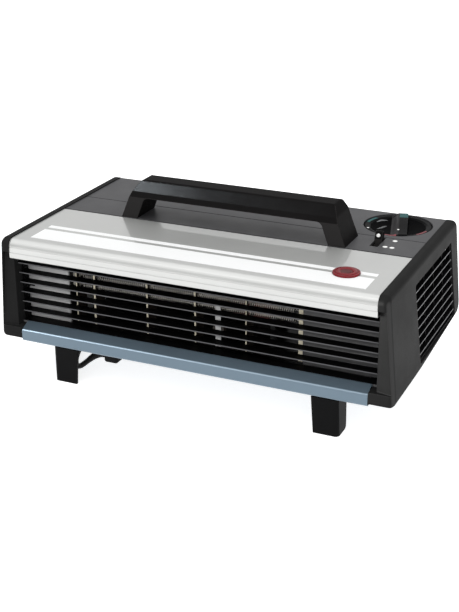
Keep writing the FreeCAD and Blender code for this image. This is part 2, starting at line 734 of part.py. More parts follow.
def control_panel():
    line = [(BODY_D, BODY_TOP - PANEL_SKIRT), (BODY_D, BODY_TOP), (COVER_D + PANEL_SEAM, BODY_TOP)]
    panel = bent_sheet(line, PANEL_THICK, -HALF_PANEL, HALF_PANEL, {1: PANEL_EDGE_RADIUS})
    floor = BODY_TOP - WELL_DEPTH - WELL_WALL
    axis = (DIAL_X, depth(DIAL_D))
    cup = rod(WELL_RADIUS + WELL_WALL, (*axis, floor), (*axis, BODY_TOP - PANEL_THICK / 2))
    bowl = rod(WELL_RADIUS, (*axis, floor + WELL_WALL), (*axis, BODY_TOP + OVER))
    panel = fused(panel, cup).cut(bowl)
    panel = panel.cut(rod(BUSHING_RADIUS, (*axis, floor - OVER), (*axis, BODY_TOP)))
    slot = box(SLOT_X - SLOT_WIDTH / 2, SLOT_X + SLOT_WIDTH / 2, SLOT_D, SLOT_END_D,
               PANEL_UNDER - OVER, BODY_TOP + OVER)
    width, deep = PANEL_GROOVE
    groove = box(-HALF_PANEL, HALF_PANEL, PANEL_GROOVE_D - width / 2, PANEL_GROOVE_D + width / 2,
                 BODY_TOP - deep, BODY_TOP + OVER)
    panel = panel.cut(slot).cut(groove)
    for x, d in HANDLE_SCREWS:
        hole = screw_hole((x, depth(d), PANEL_UNDER - OVER), (0, 0, 1), PANEL_THICK + 2 * OVER)
        panel = panel.cut(hole)
    for x in REAR_SCREW_XS:
        hole = screw_hole((x, depth(REAR_FACE_D), REAR_SCREW_TOP), (0, 1, 0), PANEL_THICK + OVER)
        panel = panel.cut(hole)
    return panel


def rear_panel():
    """Steel back with its intake slots; the top edge sits inside the control panel's skirt."""
    top = PANEL_UNDER - REAR_TOP_GAP
    panel = box(-HALF_PANEL, HALF_PANEL, REAR_FACE_D - SHEET, REAR_FACE_D, TRAY_TOP, top)
    for column in range(INTAKE_COLUMNS):
        for row in range(INTAKE_ROWS):
            left = (column - (INTAKE_COLUMNS - 1) / 2) * INTAKE_STEP_X - INTAKE_LENGTH / 2
            right = left + INTAKE_LENGTH
            low = INTAKE_LOW + row * INTAKE_STEP_Z
            high = low + INTAKE_HEIGHT
            slot = along_y([(left, low), (right, low), (right, high), (left, high)],
                           REAR_FACE_D - OVER, REAR_FACE_D + OVER, {i: INTAKE_RADIUS for i in range(4)})
            panel = panel.cut(slot)
    for x in REAR_SCREW_XS:
        for z in (REAR_SCREW_TOP, REAR_SCREW_LOW):
            panel = panel.cut(screw_hole((x, depth(REAR_FACE_D - OVER), z), (0, 1, 0), 2 * OVER))
    return panel.cut(well_room())


FEET = {"front_right_foot": (RIGHT_FOOT_X, 1, 1), "front_left_foot": (LEFT_FOOT_X, -1, 1),
        "rear_right_foot": (RIGHT_FOOT_X, 1, -1), "rear_left_foot": (LEFT_FOOT_X, -1, -1)}


def foot_screw_place(x, facing):
    d = FOOT_D + FOOT_SCREW_IN
    return x, d if facing > 0 else BODY_D - d


def base_tray():
    back = REAR_FACE_D - SHEET
    lip = [(SILL_D, SILL_TOP - SILL_RETURN), (SILL_D, SILL_TOP), (LIP_D, BASE_BOTTOM + LIP_HEIGHT),
           (LIP_D, BASE_BOTTOM), (back, BASE_BOTTOM), (back, BASE_BOTTOM + TRAY_FLANGE)]
    rounds = {1: BEND_RADIUS, 2: LIP_RADIUS, 3: LIP_RADIUS, 4: BEND_RADIUS}
    tray = bent_sheet(lip, SHEET, -TRAY_HALF, TRAY_HALF, rounds)
    ends = HALF_PANEL - FIT_GAP
    wings = box(-ends, ends, BAFFLE_D, back - BEND_RADIUS, BASE_BOTTOM, TRAY_TOP)
    tray = fused(tray, wings)
    holes = [(side * CAP_SCREW_X, d) for side in (-1, 1) for d in CAP_SCREW_DS]
    holes += [foot_screw_place(x, facing) for x, _, facing in FEET.values()]
    for x, d in holes:
        tray = tray.cut(screw_hole((x, depth(d), BASE_BOTTOM - OVER), (0, 0, 1), 2 * OVER))
    for x in REAR_SCREW_XS:
        tray = tray.cut(screw_hole((x, depth(back - OVER), REAR_SCREW_LOW), (0, 1, 0), 2 * OVER))
    entry = (sum(GLAND_X) / 2, depth(sum(GLAND_D) / 2))
    hole = rod(CORD / 2 + CORD_HOLE_GAP, (*entry, BASE_BOTTOM - OVER), (*entry, BASE_BOTTOM + OVER))
    return tray.cut(hole)


def case_screws():
    """Screws of the rear panel, top and bottom, and of the end caps under the tray."""
    upper = [screw((x, depth(BODY_D), REAR_SCREW_TOP), (0, -1, 0), PANEL_THICK + REAR_SCREW_BITE)
             for x in REAR_SCREW_XS]
    lower = [screw((x, depth(REAR_FACE_D), REAR_SCREW_LOW), (0, -1, 0), REAR_SCREW_BITE)
             for x in REAR_SCREW_XS]
    under = [screw((side * CAP_SCREW_X, depth(d), BASE_BOTTOM), (0, 0, 1), CAP_SCREW_LENGTH)
             for side in (-1, 1) for d in CAP_SCREW_DS]
    return group(upper + lower + under)


def front_grille():
    top = BODY_TOP - BAND_HEIGHT + SHEET
    low = SILL_TOP - SILL_RETURN
    half = HALF_PANEL
    crest = top + GRILLE_RAIL
    rail = box(-half, half, GRILLE_RAIL_D, GRILLE_BACK_D, top, crest)
    sill = box(-half, half, SILL_D, GRILLE_BACK_D, low, low + GRILLE_RAIL)
    ends = [box(x0, x0 + GRILLE_BAR, GRILLE_END_D, GRILLE_BACK_D, low, crest)
            for x0 in (-half, half - GRILLE_BAR)]
    slats = []
    for i in range(SLATS):
        d = SLAT_D + i * SLAT_LEAN
        z = SLAT_TOP - i * SLAT_PITCH
        slats.append(box(-half, half, d, d + SLAT_DEPTH, z - SLAT_THICK, z))
    return fused(rail, sill, *ends, *slats)


# Handle and feet

def handle():
    base = BODY_TOP
    top = base + HANDLE_TOP
    chin = base + HANDLE_CHIN
    side = [(HANDLE_FRONT_D, base), (HANDLE_FRONT_D + HANDLE_FACE_LEANS[0], base + HANDLE_GAP),
            (HANDLE_FRONT_D + HANDLE_FACE_LEANS[1], chin), (HANDLE_FRONT_D + HANDLE_BEVEL, top),
            (HANDLE_BACK_D - HANDLE_BACK_LEAN, top),
            (HANDLE_BACK_D + HANDLE_BACK_BULGE, chin + HANDLE_BACK_CHIN), (HANDLE_BACK_D, base)]
    rounds = dict(enumerate(HANDLE_BAR_ROUNDS, 2))
    body = along_x(side, -HANDLE_HALF, HANDLE_HALF, rounds)
    right = [(HANDLE_HALF, base), (HANDLE_HALF - HANDLE_LEG_LEAN, base + HANDLE_SHOULDER),
             (HANDLE_HALF - HANDLE_TOP_LEAN, top)]
    front = right + [(-x, z) for x, z in reversed(right)]
    shoulders = {1: HANDLE_SHOULDER_RADIUS, 2: HANDLE_TIP_RADIUS, 3: HANDLE_TIP_RADIUS,
                 4: HANDLE_SHOULDER_RADIUS}
    reach = (HANDLE_FRONT_D - OVER, HANDLE_BACK_D + OVER)
    body = body.common(along_y(front, *reach, shoulders))
    inner = HANDLE_HALF - HANDLE_LEG
    narrow = inner - HANDLE_GAP_LEAN
    gap = [(inner, base), (narrow, base + HANDLE_GAP), (-narrow, base + HANDLE_GAP), (-inner, base)]
    body = body.cut(along_y(gap, *reach, {1: HANDLE_GAP_RADIUS, 2: HANDLE_GAP_RADIUS}))
    for x, d in HANDLE_SCREWS:
        body = body.cut(screw_hole((x, depth(d), base), (0, 0, 1), HANDLE_SCREW_BITE))
    return body


def handle_screws():
    length = PANEL_THICK + HANDLE_SCREW_BITE
    return group([screw((x, depth(d), PANEL_UNDER), (0, 0, 1), length) for x, d in HANDLE_SCREWS])


def foot(x, side, facing):
    """L-shaped foot: a face plate, an outer side plate and a flange under the tray."""
    outer = FOOT_WIDTH / 2
    plan = [(-outer, 0), (outer, 0), (outer, FOOT_DEPTH), (-outer, FOOT_DEPTH)]
    block = along_z(plan, 0, BASE_BOTTOM, {1: FOOT_CORNER})
    front = [(-outer, BASE_BOTTOM), (-outer + FOOT_TAPER, 0), (outer, 0), (outer - FOOT_FLARE, BASE_BOTTOM)]
    block = block.common(along_y(front, -OVER, FOOT_DEPTH + OVER))
    flank = [(0, 0), (FOOT_DEPTH - FOOT_BACK_DRAFT, 0), (FOOT_DEPTH, BASE_BOTTOM), (0, BASE_BOTTOM)]
    block = block.common(along_x(flank, -outer - OVER, outer + OVER, {1: FOOT_TOE_RADIUS}))
    inside = outer - FOOT_WALL
    corners = [(-outer - OVER, FOOT_WALL), (inside, FOOT_WALL), (inside, FOOT_DEPTH + OVER),
               (-outer - OVER, FOOT_DEPTH + OVER)]
    hollow = along_z(corners, -OVER, BASE_BOTTOM - FOOT_FLANGE, {1: FOOT_CORNER - FOOT_WALL})
    shape = block.cut(hollow)
    shape = shape.cut(screw_hole((0, depth(FOOT_SCREW_IN), BASE_BOTTOM - OVER), (0, 0, 1), 2 * OVER))
    if side < 0:
        shape = mirrored(shape)
    shape.translate(Vec(x, FOOT_D, 0))
    if facing < 0:
        shape = shape.mirror(Vec(0, depth(BODY_D / 2), 0), Vec(0, 1, 0))
    return shape


def foot_screws():
    places = [foot_screw_place(x, facing) for x, _, facing in FEET.values()]
    seat = BASE_BOTTOM - FOOT_FLANGE
    return group([screw((x, depth(d), seat), (0, 0, 1), FOOT_SCREW_LENGTH) for x, d in places])


# Controls and pilot light

DIAL_AXIS = (DIAL_X, depth(DIAL_D))
WELL_FLOOR = BODY_TOP - WELL_DEPTH
KNOB_BOTTOM = WELL_FLOOR + KNOB_FLOOR_GAP
SPINDLE_TOP = BODY_TOP - SPINDLE_INSET
THERMOSTAT_TOP = WELL_FLOOR - WELL_WALL


def disc(radius, z0, z1):
    return rod(radius, (*DIAL_AXIS, z0), (*DIAL_AXIS, z1))


def thermostat_knob():
    skirt = disc(KNOB_RADIUS, KNOB_BOTTOM, KNOB_BOTTOM + KNOB_SKIRT)
    rim = disc(KNOB_RADIUS, KNOB_BOTTOM, KNOB_BOTTOM + KNOB_SKIRT + KNOB_RIM_RISE)
    rim = rim.cut(disc(KNOB_RADIUS - KNOB_RIM, KNOB_BOTTOM - OVER, BODY_TOP + OVER))
    width, length = KNOB_BAR
    bar = along_z([(DIAL_X - width / 2, DIAL_D - length / 2), (DIAL_X + width / 2, DIAL_D - length / 2),
                   (DIAL_X + width / 2, DIAL_D + length / 2), (DIAL_X - width / 2, DIAL_D + length / 2)],
                  KNOB_BOTTOM, BODY_TOP + KNOB_BAR_RISE, {i: KNOB_BAR_RADIUS for i in range(4)})
    bar.translate(Vec(KNOB_SHIFT, 0, 0))
    bar.rotate(Vec(*DIAL_AXIS, 0), Vec(0, 0, 1), KNOB_TURN)
    knob = fused(skirt, rim, bar)
    return knob.cut(disc(SPINDLE_RADIUS, KNOB_BOTTOM - OVER, SPINDLE_TOP))


def thermostat_spindle():
    return disc(SPINDLE_RADIUS, THERMOSTAT_TOP - SPINDLE_DEEP, SPINDLE_TOP)


def thermostat_body():
    width, length, height = THERMOSTAT
    front = DIAL_D - length / 2
    body = box(DIAL_X - width / 2, DIAL_X + width / 2, front, front + length,
               THERMOSTAT_TOP - height, THERMOSTAT_TOP)
    bush = disc(BUSHING_RADIUS, THERMOSTAT_TOP - SPINDLE_DEEP, WELL_FLOOR + NUT_HEIGHT)
    bore = disc(SPINDLE_RADIUS + RUNNING_GAP, THERMOSTAT_TOP - SPINDLE_DEEP - SLIDE_GAP, BODY_TOP)
    wide, thick, long = SWITCH_TAG
    middle = THERMOSTAT_TOP - height / 2
    tags = [box(DIAL_X + x - wide / 2, DIAL_X + x + wide / 2, front - long, front, middle, middle + thick)
            for x in (-width / 4, width / 4)]
    return fused(body, bush, *tags).cut(bore)


def thermostat_nut():
    turns = [a * math.pi / 3 for a in range(6)]
    corners = [(DIAL_X + NUT_RADIUS * math.cos(a), DIAL_D + NUT_RADIUS * math.sin(a)) for a in turns]
    nut = along_z(corners, WELL_FLOOR, WELL_FLOOR + NUT_HEIGHT)
    return nut.cut(disc(BUSHING_RADIUS, WELL_FLOOR - OVER, BODY_TOP))


def selector_lever():
    width, length, thick = SLIDER
    top = PANEL_UNDER - SLIDE_GAP
    plate = box(SLOT_X - width / 2, SLOT_X + width / 2, LEVER_REST_D - length / 2, LEVER_REST_D + length / 2,
                top - thick, top)
    wide, long = LEVER_STEM
    front, back = LEVER_REST_D - long / 2, LEVER_REST_D + long / 2
    peak = BODY_TOP + LEVER_RISE
    side = [(front, top - thick / 2), (back, top - thick / 2), (back, peak), (back - LEVER_CROWN, peak),
            (front, BODY_TOP + LEVER_NOSE)]
    rounds = dict(enumerate(LEVER_ROUNDS, 2))
    stem = along_x(side, SLOT_X - wide / 2, SLOT_X + wide / 2, rounds)
    return fused(plate, stem)


SWITCH_TOP = PANEL_UNDER - SLIDE_GAP - SLIDER[2] - SLIDE_GAP
SWITCH_BOTTOM = SWITCH_TOP - SWITCH_HEIGHT
SWITCH_D = SLOT_D - SWITCH_FRONT
SWITCH_TAG_DS = [SWITCH_D + SWITCH_FRONT + i * SWITCH_TAG_STEP for i in range(3)]


def selector_switch():
    back = SLOT_END_D + SWITCH_EAR
    left, right = SLOT_X - SWITCH_WIDTH / 2, SLOT_X + SWITCH_WIDTH / 2
    body = box(left, right, SWITCH_D, back, SWITCH_BOTTOM, SWITCH_TOP)
    ears = [box(left, right, d, d + SWITCH_EAR, SWITCH_BOTTOM, PANEL_UNDER)
            for d in (SWITCH_D, back - SWITCH_EAR)]
    wide, thick, long = SWITCH_TAG
    low = SWITCH_BOTTOM - long
    tags = [box(SLOT_X - wide / 2, SLOT_X + wide / 2, d - thick / 2, d + thick / 2, low, SWITCH_BOTTOM)
            for d in SWITCH_TAG_DS]
    return fused(body, *ears, *tags)


LENS_AXIS = (LENS_X, depth(LENS_D))


def lens_disc(radius, z0, z1):
    return rod(radius, (*LENS_AXIS, z0), (*LENS_AXIS, z1))


def pilot_bezel():
    top = BODY_TOP + BEZEL_HEIGHT
    ring = lens_disc(BEZEL_RADIUS, BODY_TOP, top)
    ring = ring.makeFillet(BEZEL_ROUND, [e for e in ring.Edges if e.BoundBox.ZMin > top - 1e-3])
    return ring.cut(lens_disc(LENS_RADIUS, BODY_TOP - OVER, BODY_TOP + OVER))


LENS_SKIRT_BOTTOM = BODY_TOP - LENS_SKIRT


def pilot_lens():
    radius = (LENS_RADIUS ** 2 + LENS_CROWN ** 2) / (2 * LENS_CROWN)
    dome = Part.makeSphere(radius, Vec(*LENS_AXIS, BODY_TOP + LENS_CROWN - radius))
    cap = lens_disc(LENS_RADIUS, BODY_TOP, BODY_TOP + OVER).common(dome)
    flange = lens_disc(LENS_RADIUS, BODY_TOP, BODY_TOP + LENS_EDGE)
    skirt = lens_disc(LENS_SKIRT_RADIUS, LENS_SKIRT_BOTTOM, BODY_TOP + LENS_EDGE)
    hollow = lens_disc(LENS_SKIRT_RADIUS - LENS_WALL, LENS_SKIRT_BOTTOM - OVER, BODY_TOP)
    return fused(flange, cap, skirt).cut(hollow)


def lamp_holder():
    cup = lens_disc(LENS_SKIRT_RADIUS, LENS_SKIRT_BOTTOM - HOLDER_HEIGHT, LENS_SKIRT_BOTTOM)
    return cup.cut(lens_disc(LAMP_RADIUS, LENS_SKIRT_BOTTOM - LAMP_SEAT, LENS_SKIRT_BOTTOM + OVER))


def neon_lamp():
    shoulder = BODY_TOP - LAMP_TOP_GAP
    glass = lens_disc(LAMP_RADIUS, LENS_SKIRT_BOTTOM - LAMP_SEAT, shoulder)
    tip = Part.makeSphere(LAMP_RADIUS, Vec(*LENS_AXIS, shoulder))
    return fused(glass, tip)


# Duct, blower and motor

def baffle(x, side, bush_hole):
    """Duct side wall with a front flange that closes the end of the grille."""
    low = TRAY_TOP
    wall = box(*sorted((x, x + side * SHEET)), BAFFLE_D, DUCT_BACK_D, low, SHIELD_TOP)
    flange = box(*sorted((x, side * HALF_PANEL)), BAFFLE_D, BAFFLE_D + SHEET,
                 low + BAFFLE_FLANGE_LOW, BODY_TOP - SHEET - BAFFLE_FLANGE_GAP)
    foot_plate = box(*sorted((x, x + side * BAFFLE_FOOT)), BAFFLE_FOOT_D, DUCT_BACK_D, low, low + SHEET)
    plate = fused(wall, flange, foot_plate)
    reach = 2 * BAFFLE_FOOT
    plate = plate.cut(box(x - reach, x + reach, *WIRE_NOTCH_D, low - OVER, low + WIRE_NOTCH))
    end = side * HALF_PANEL
    notch_top, notch_low = [BODY_TOP - drop for drop in BAFFLE_NOTCH_DROPS]
    plate = plate.cut(box(*sorted((end, end - side * BAFFLE_NOTCH)), BAFFLE_D - OVER, BAFFLE_D + OVER,
                          notch_low, notch_top))
    if bush_hole:
        plate = plate.cut(rod(bush_hole, (x - OVER, depth(FAN_D), FAN_Z), (x + OVER, depth(FAN_D), FAN_Z)))
    return plate


def heat_shield():
    return box(DUCT_LEFT, DUCT_RIGHT, BAFFLE_D + SHEET, SHIELD_BACK_D, SHIELD_TOP - SHEET, SHIELD_TOP)


def blower_scroll():
    front, back = SCROLL_DS
    line = [(GRILLE_BACK_D, BASE_BOTTOM + SCROLL_LIP_RISE), (front, BASE_BOTTOM + SCROLL_RISE),
            (back, BODY_TOP - SCROLL_DROP)]
    return bent_sheet(line, SHEET, DUCT_LEFT, BLOWER_END, {1: SCROLL_RADIUS})


def blower_tongue():
    line = [(d, BODY_TOP - drop) for d, drop in zip(TONGUE_DS, TONGUE_DROPS)]
    return bent_sheet(line, SHEET, DUCT_LEFT, BLOWER_END, {1: 3 * BEND_RADIUS})


def blower_end_plate():
    front, back = BLOWER_PLATE_D
    corners = [(front, TRAY_TOP), (back, TRAY_TOP), (back, BLOWER_PLATE_TOP), (front, BLOWER_PLATE_TOP)]
    rounds = dict(enumerate(BLOWER_PLATE_RADII, 2))
    plate = along_x(corners, BLOWER_END, BLOWER_END + SHEET, rounds)
    ends = (BLOWER_END - OVER, BLOWER_END + OVER)
    plate = plate.cut(fan_disc(BUSH_RADIUS + COLLAR, *ends))
    return plate.cut(box(*ends, *WIRE_NOTCH_D, TRAY_TOP - OVER, TRAY_TOP + WIRE_NOTCH))


def fan_disc(radius, x0, x1):
    return rod(radius, (x0, depth(FAN_D), FAN_Z), (x1, depth(FAN_D), FAN_Z))


def blade(angle):
    """One forward-curved blade: a thin arc between the inner and outer radius."""
    turn = math.radians(BLADE_TURN)
    middle_turn = math.radians(BLADE_BELLY)
    tip = FAN_RADIUS - BLADE_INSET

    def at(radius, swing, offset):
        a = angle + swing
        return Vec(FAN_START, depth(FAN_D) + radius * math.cos(a) - offset * math.sin(a),
                   FAN_Z + radius * math.sin(a) + offset * math.cos(a))
    mid = (FAN_INNER + FAN_RADIUS) / 2
    first = [at(FAN_INNER, 0, 0), at(mid, middle_turn, 0), at(tip, turn, 0)]
    second = [at(tip, turn, BLADE_THICK), at(mid, middle_turn, BLADE_THICK), at(FAN_INNER, 0, BLADE_THICK)]
    edges = [Part.Arc(*first).toShape(), Part.LineSegment(first[2], second[0]).toShape(),
             Part.Arc(*second).toShape(), Part.LineSegment(second[2], first[0]).toShape()]
    return Part.Face(Part.Wire(edges)).extrude(Vec(FAN_END - FAN_START, 0, 0))


def impeller():
    middle = (FAN_START + FAN_END) / 2
    discs = [fan_disc(FAN_RADIUS, x, x + DISC) for x in (FAN_START, middle - DISC / 2, FAN_END - DISC)]
    hubs = [fan_disc(HUB_RADIUS, FAN_START, FAN_START + HUB_LENGTH),
            fan_disc(HUB_RADIUS, FAN_END - HUB_LENGTH, FAN_END)]
    blades = [blade(2 * math.pi * i / FAN_BLADES) for i in range(FAN_BLADES)]
    wheel = discs[0].multiFuse(discs[1:] + hubs + blades)
    return wheel.cut(fan_disc(SHAFT_RADIUS, FAN_START - OVER, FAN_END + OVER))


def fan_shaft():
    return fan_disc(SHAFT_RADIUS, DUCT_LEFT - SHAFT_TAIL, SHAFT_END)


def shaft_bush():
    """Sleeve bearing held in the left duct wall."""
    end = DUCT_LEFT + COLLAR
    collar = fan_disc(BUSH_RADIUS + COLLAR, DUCT_LEFT, end)
    sleeve = fan_disc(BUSH_RADIUS, end - BUSH_LENGTH, end)
    bore = fan_disc(SHAFT_RADIUS + RUNNING_GAP, DUCT_LEFT - OVER, DUCT_LEFT + OVER)
    return fused(collar, sleeve).cut(bore)


POST_ZS = (CORE_Z[0] + POST_INSET, CORE_Z[1] - POST_INSET)


def motor_core():
    through = (CORE_X[0] - OVER, CORE_X[1] + OVER)
    core = box(*CORE_X, *CORE_D, *CORE_Z).cut(box(*through, *WINDOW_D, *WINDOW_Z))
    core = core.cut(fan_disc(ROTOR_RADIUS + AIR_GAP, *through))
    for z in POST_ZS:
        core = core.cut(rod(SCREW_RADIUS, (through[0], depth(FAN_D), z), (through[1], depth(FAN_D), z)))
    return core


def motor_winding():
    outer = box(CORE_X[0] - WINDING, CORE_X[1] + WINDING, CORE_D[0] - WINDING, WINDOW_D[0] + WINDING,
                WINDOW_Z[0] + FIT_GAP, WINDOW_Z[1] - FIT_GAP)
    rounded = outer.makeFillet(WINDING / 2, [e for e in outer.Edges if e.BoundBox.ZLength > WINDING])
    return rounded.cut(box(*CORE_X, CORE_D[0], WINDOW_D[0], *WINDOW_Z))


def motor_rotor():
    return fan_disc(ROTOR_RADIUS, *CORE_X).cut(fan_disc(SHAFT_RADIUS, CORE_X[0] - OVER, CORE_X[1] + OVER))


def motor_bracket(side):
    """Bearing bracket: two posts on the core, a bar across them and the bearing boss."""
    face = CORE_X[1] if side > 0 else CORE_X[0]
    near = face + side * POST_LENGTH
    far = near + side * BRACKET
    front, back = FAN_D - BRACKET_WIDTH / 2, FAN_D + BRACKET_WIDTH / 2
    bar = along_x([(front, CORE_Z[0]), (back, CORE_Z[0]), (back, CORE_Z[1]), (front, CORE_Z[1])],
                  *sorted((near, far)), {i: BRACKET_END_RADIUS for i in range(4)})
    posts = [rod(POST_RADIUS, (face, depth(FAN_D), z), (far, depth(FAN_D), z)) for z in POST_ZS]
    boss = fan_disc(BOSS_RADIUS, *sorted((near, near + side * BOSS_LENGTH)))
    shape = fused(bar, boss, *posts)
    past = far + side * OVER
    for z in POST_ZS:
        hole = rod(SCREW_RADIUS, (face - side * OVER, depth(FAN_D), z), (past, depth(FAN_D), z))
        shape = shape.cut(hole)
    return shape.cut(fan_disc(SHAFT_RADIUS + RUNNING_GAP, *sorted((face, past))))


def motor_screws():
    seat = CORE_X[1] + POST_LENGTH + BRACKET
    length = seat - (CORE_X[0] - POST_LENGTH - BRACKET)
    return group([screw((seat, depth(FAN_D), z), (-1, 0, 0), length) for z in POST_ZS])


def motor_mount():
    top = CORE_Z[0]
    front, back = MOUNT_D
    under = top - SHEET
    line = [(front - MOUNT_FOOT, TRAY_TOP), (front, TRAY_TOP), (front, under), (back, under),
            (back, TRAY_TOP), (back + MOUNT_FOOT, TRAY_TOP)]
    return bent_sheet(line, SHEET, CORE_X[0] + MOUNT_INSET, CORE_X[1] - MOUNT_INSET)


# Heating element

def element_frame():
    outer = box(DUCT_LEFT, DUCT_RIGHT, *ELEMENT_D, *ELEMENT_Z)
    return outer.cut(box(DUCT_LEFT + SHEET, DUCT_RIGHT - SHEET, ELEMENT_D[0] - OVER, ELEMENT_D[1] + OVER,
                         ELEMENT_Z[0] + SHEET, ELEMENT_Z[1] - SHEET))


def mica_cards():
    cards = []
    radius = COIL_RADIUS + COIL_WIRE / 2 + CARD_CLEAR
    low, high = ELEMENT_Z[0] + SHEET, ELEMENT_Z[1] - SHEET
    for share, thick in CARDS:
        x = DUCT_LEFT + share * (DUCT_RIGHT - DUCT_LEFT)
        card = box(x - thick / 2, x + thick / 2, *ELEMENT_D, low, high)
        for z in COIL_ROWS:
            card = card.cut(rod(radius, (x - OVER, depth(COIL_D), z), (x + OVER, depth(COIL_D), z)))
        cards.append(card)
    return group(cards)


BEAD_LEFT = DUCT_LEFT + SHEET + BEAD_LENGTH
BEAD_RIGHT = DUCT_RIGHT - SHEET - BEAD_LENGTH


def coil_terminals():
    beads = []
    for z in COIL_ROWS:
        for start, end in ((DUCT_LEFT + SHEET, BEAD_LEFT), (DUCT_RIGHT - SHEET, BEAD_RIGHT)):
            bead = rod(BEAD_RADIUS, (start, depth(COIL_D), z), (end, depth(COIL_D), z))
            beads.append(bead)
    return group(beads)


def arc_to(start, way, end):
    """Arc that leaves start along way and ends at end, and the direction that it ends in."""
    chord = end - start
    side = chord - way * chord.dot(way)
    if side.Length < 1e-6 * chord.Length:
        return Part.LineSegment(start, end).toShape()
    side.normalize()
    radius = chord.dot(chord) / (2 * chord.dot(side))
    centre = start + side * radius
    middle = ((start + end) * 0.5 - centre).normalize()
    return Part.Arc(start, centre + middle * radius, end).toShape()


def biarc(start, way1, end, way2):
    """Two tangent arcs between two points with given directions."""
    v = start - end
    t = way1 + way2
    a = 2 * (way1.dot(way2) - 1)
    b = 2 * v.dot(t)
    c = v.dot(v)
    reach = -c / b if abs(a) < 1e-9 else (-b - math.sqrt(b * b - 4 * a * c)) / (2 * a)
    joint = (start + way1 * reach + end - way2 * reach) * 0.5
    first = arc_to(start, way1, joint)
    second = arc_to(end, way2 * -1, joint)
    return [first, second]


def wound_tube(stations, radius):
    """Tube along (point, direction) stations: straight at both ends, biarcs between the others."""
    edges = [Part.LineSegment(stations[0][0], stations[1][0]).toShape()]
    for (p, u), (q, w) in zip(stations[1:-2], stations[2:-1]):
        edges += biarc(p, u, q, w)
    edges.append(Part.LineSegment(stations[-2][0], stations[-1][0]).toShape())
    path = Part.Wire(edges)
    section = Part.Wire(Part.makeCircle(radius, stations[0][0], stations[0][1]))
    shell = Part.BRepOffsetAPI.MakePipeShell(path)
    shell.add(section)
    shell.build()
    shell.makeSolid()
    return shell.shape(), path


def least_gap(path, thick, skip):
    """Least clear distance of a tube to itself, on points farther apart along it than skip."""
    spacing = thick / 2
    points = path.discretize(Distance=spacing)
    apart = int(skip / spacing)
    cell = thick * 2.5
    grid = {}
    best = cell
    for i, p in enumerate(points):
        key = (int(p.x // cell), int(p.y // cell), int(p.z // cell))
        for dx in (-1, 0, 1):
            for dy in (-1, 0, 1):
                for dz in (-1, 0, 1):
                    for j in grid.get((key[0] + dx, key[1] + dy, key[2] + dz), ()):
                        if i - j > apart:
                            best = min(best, (points[j] - p).Length)
        grid.setdefault(key, []).append(i)
    return best - thick


def heating_coil(z):
    """One row of resistance wire: a helix along X, led to its axis at both ends."""
    start, end = BEAD_LEFT + 2 * COIL_LEAD, BEAD_RIGHT - 2 * COIL_LEAD
    pitch = (end - start) / COIL_CURLS
    axis = Vec(1, 0, 0)

    def station(turn):
        a = 2 * math.pi * turn
        y, up = COIL_RADIUS * math.cos(a), COIL_RADIUS * math.sin(a)
        point = Vec(start + pitch * turn, depth(COIL_D) + y, z + up)
        way = Vec(pitch, -2 * math.pi * up, 2 * math.pi * y)
        return point, way.normalize()
    first = Vec(BEAD_LEFT, depth(COIL_D), z)
    last = Vec(BEAD_RIGHT, depth(COIL_D), z)
    stations = [(first, axis), (first + axis * COIL_LEAD, axis)]
    stations += [station(i / 2) for i in range(2 * COIL_CURLS + 1)]
    stations += [(last - axis * COIL_LEAD, axis), (last, axis)]
    shape, path = wound_tube(stations, COIL_WIRE / 2)
    print("heating coil least gap %.2f" % least_gap(path, COIL_WIRE, 4 * COIL_RADIUS))
    return shape


def cutout_bracket():
    half = CUTOUT_STRIP / 2
    return box(CUTOUT_X - half, CUTOUT_X + half, ELEMENT_D[0], ELEMENT_D[0] + SHEET,
               ELEMENT_Z[0] + SHEET, CUTOUT_TOP)


def thermal_cutout():
    z = CUTOUT_TOP - CUTOUT_DROP
    face = ELEMENT_D[0] + SHEET
    back = face + CUTOUT_HEIGHT
    can = rod(CUTOUT_RADIUS, (CUTOUT_X, depth(face), z), (CUTOUT_X, depth(back), z))
    wide, thick, long = SWITCH_TAG
    middles = (CUTOUT_X - CUTOUT_RADIUS / 2, CUTOUT_X + CUTOUT_RADIUS / 2)
    tags = [box(x - wide / 2, x + wide / 2, back, back + long, z - thick / 2, z + thick / 2) for x in middles]
    return fused(can, *tags)


# Mains connection and cord

def terminal_block():
    top = TRAY_TOP + TERMINAL_HEIGHT
    body = box(*TERMINAL_X, *TERMINAL_D, TRAY_TOP, top)
    for i in (-1, 0, 1):
        spot = (sum(TERMINAL_X) / 2 + i * TERMINAL_STEP, depth(sum(TERMINAL_D) / 2))
        body = body.cut(rod(TERMINAL_HOLE, (*spot, top - TERMINAL_HEIGHT / 2), (*spot, top + OVER)))
    return body


def tube(points, diameter, name):
    """Round tube on straight runs joined by the largest tangent arcs, checked by its volume."""
    spots = [Vec(*p) for p in points]
    edges = []
    radii = []
    start = spots[0]
    for before, here, after in zip(spots, spots[1:], spots[2:]):
        run = min((here - before).Length, (after - here).Length)
        half_turn = (math.pi - (before - here).getAngle(after - here)) / 2
        radius = 0.45 * run / math.tan(half_turn)
        first, middle, end = corner_arc(before, here, after, radius)
        edges.append(Part.LineSegment(start, first).toShape())
        edges.append(Part.Arc(first, middle, end).toShape())
        radii.append(radius)
        start = end
    edges.append(Part.LineSegment(start, spots[-1]).toShape())
    path = Part.Wire(edges)
    section = Part.Wire(Part.makeCircle(diameter / 2, spots[0], spots[1] - spots[0]))
    shape = path.makePipeShell([section], True, False)
    expected = path.Length * math.pi * diameter ** 2 / 4
    print(name, "length %.0f, volume ratio %.4f, radii" % (path.Length, shape.Volume / expected),
          [round(r) for r in radii])
    return shape


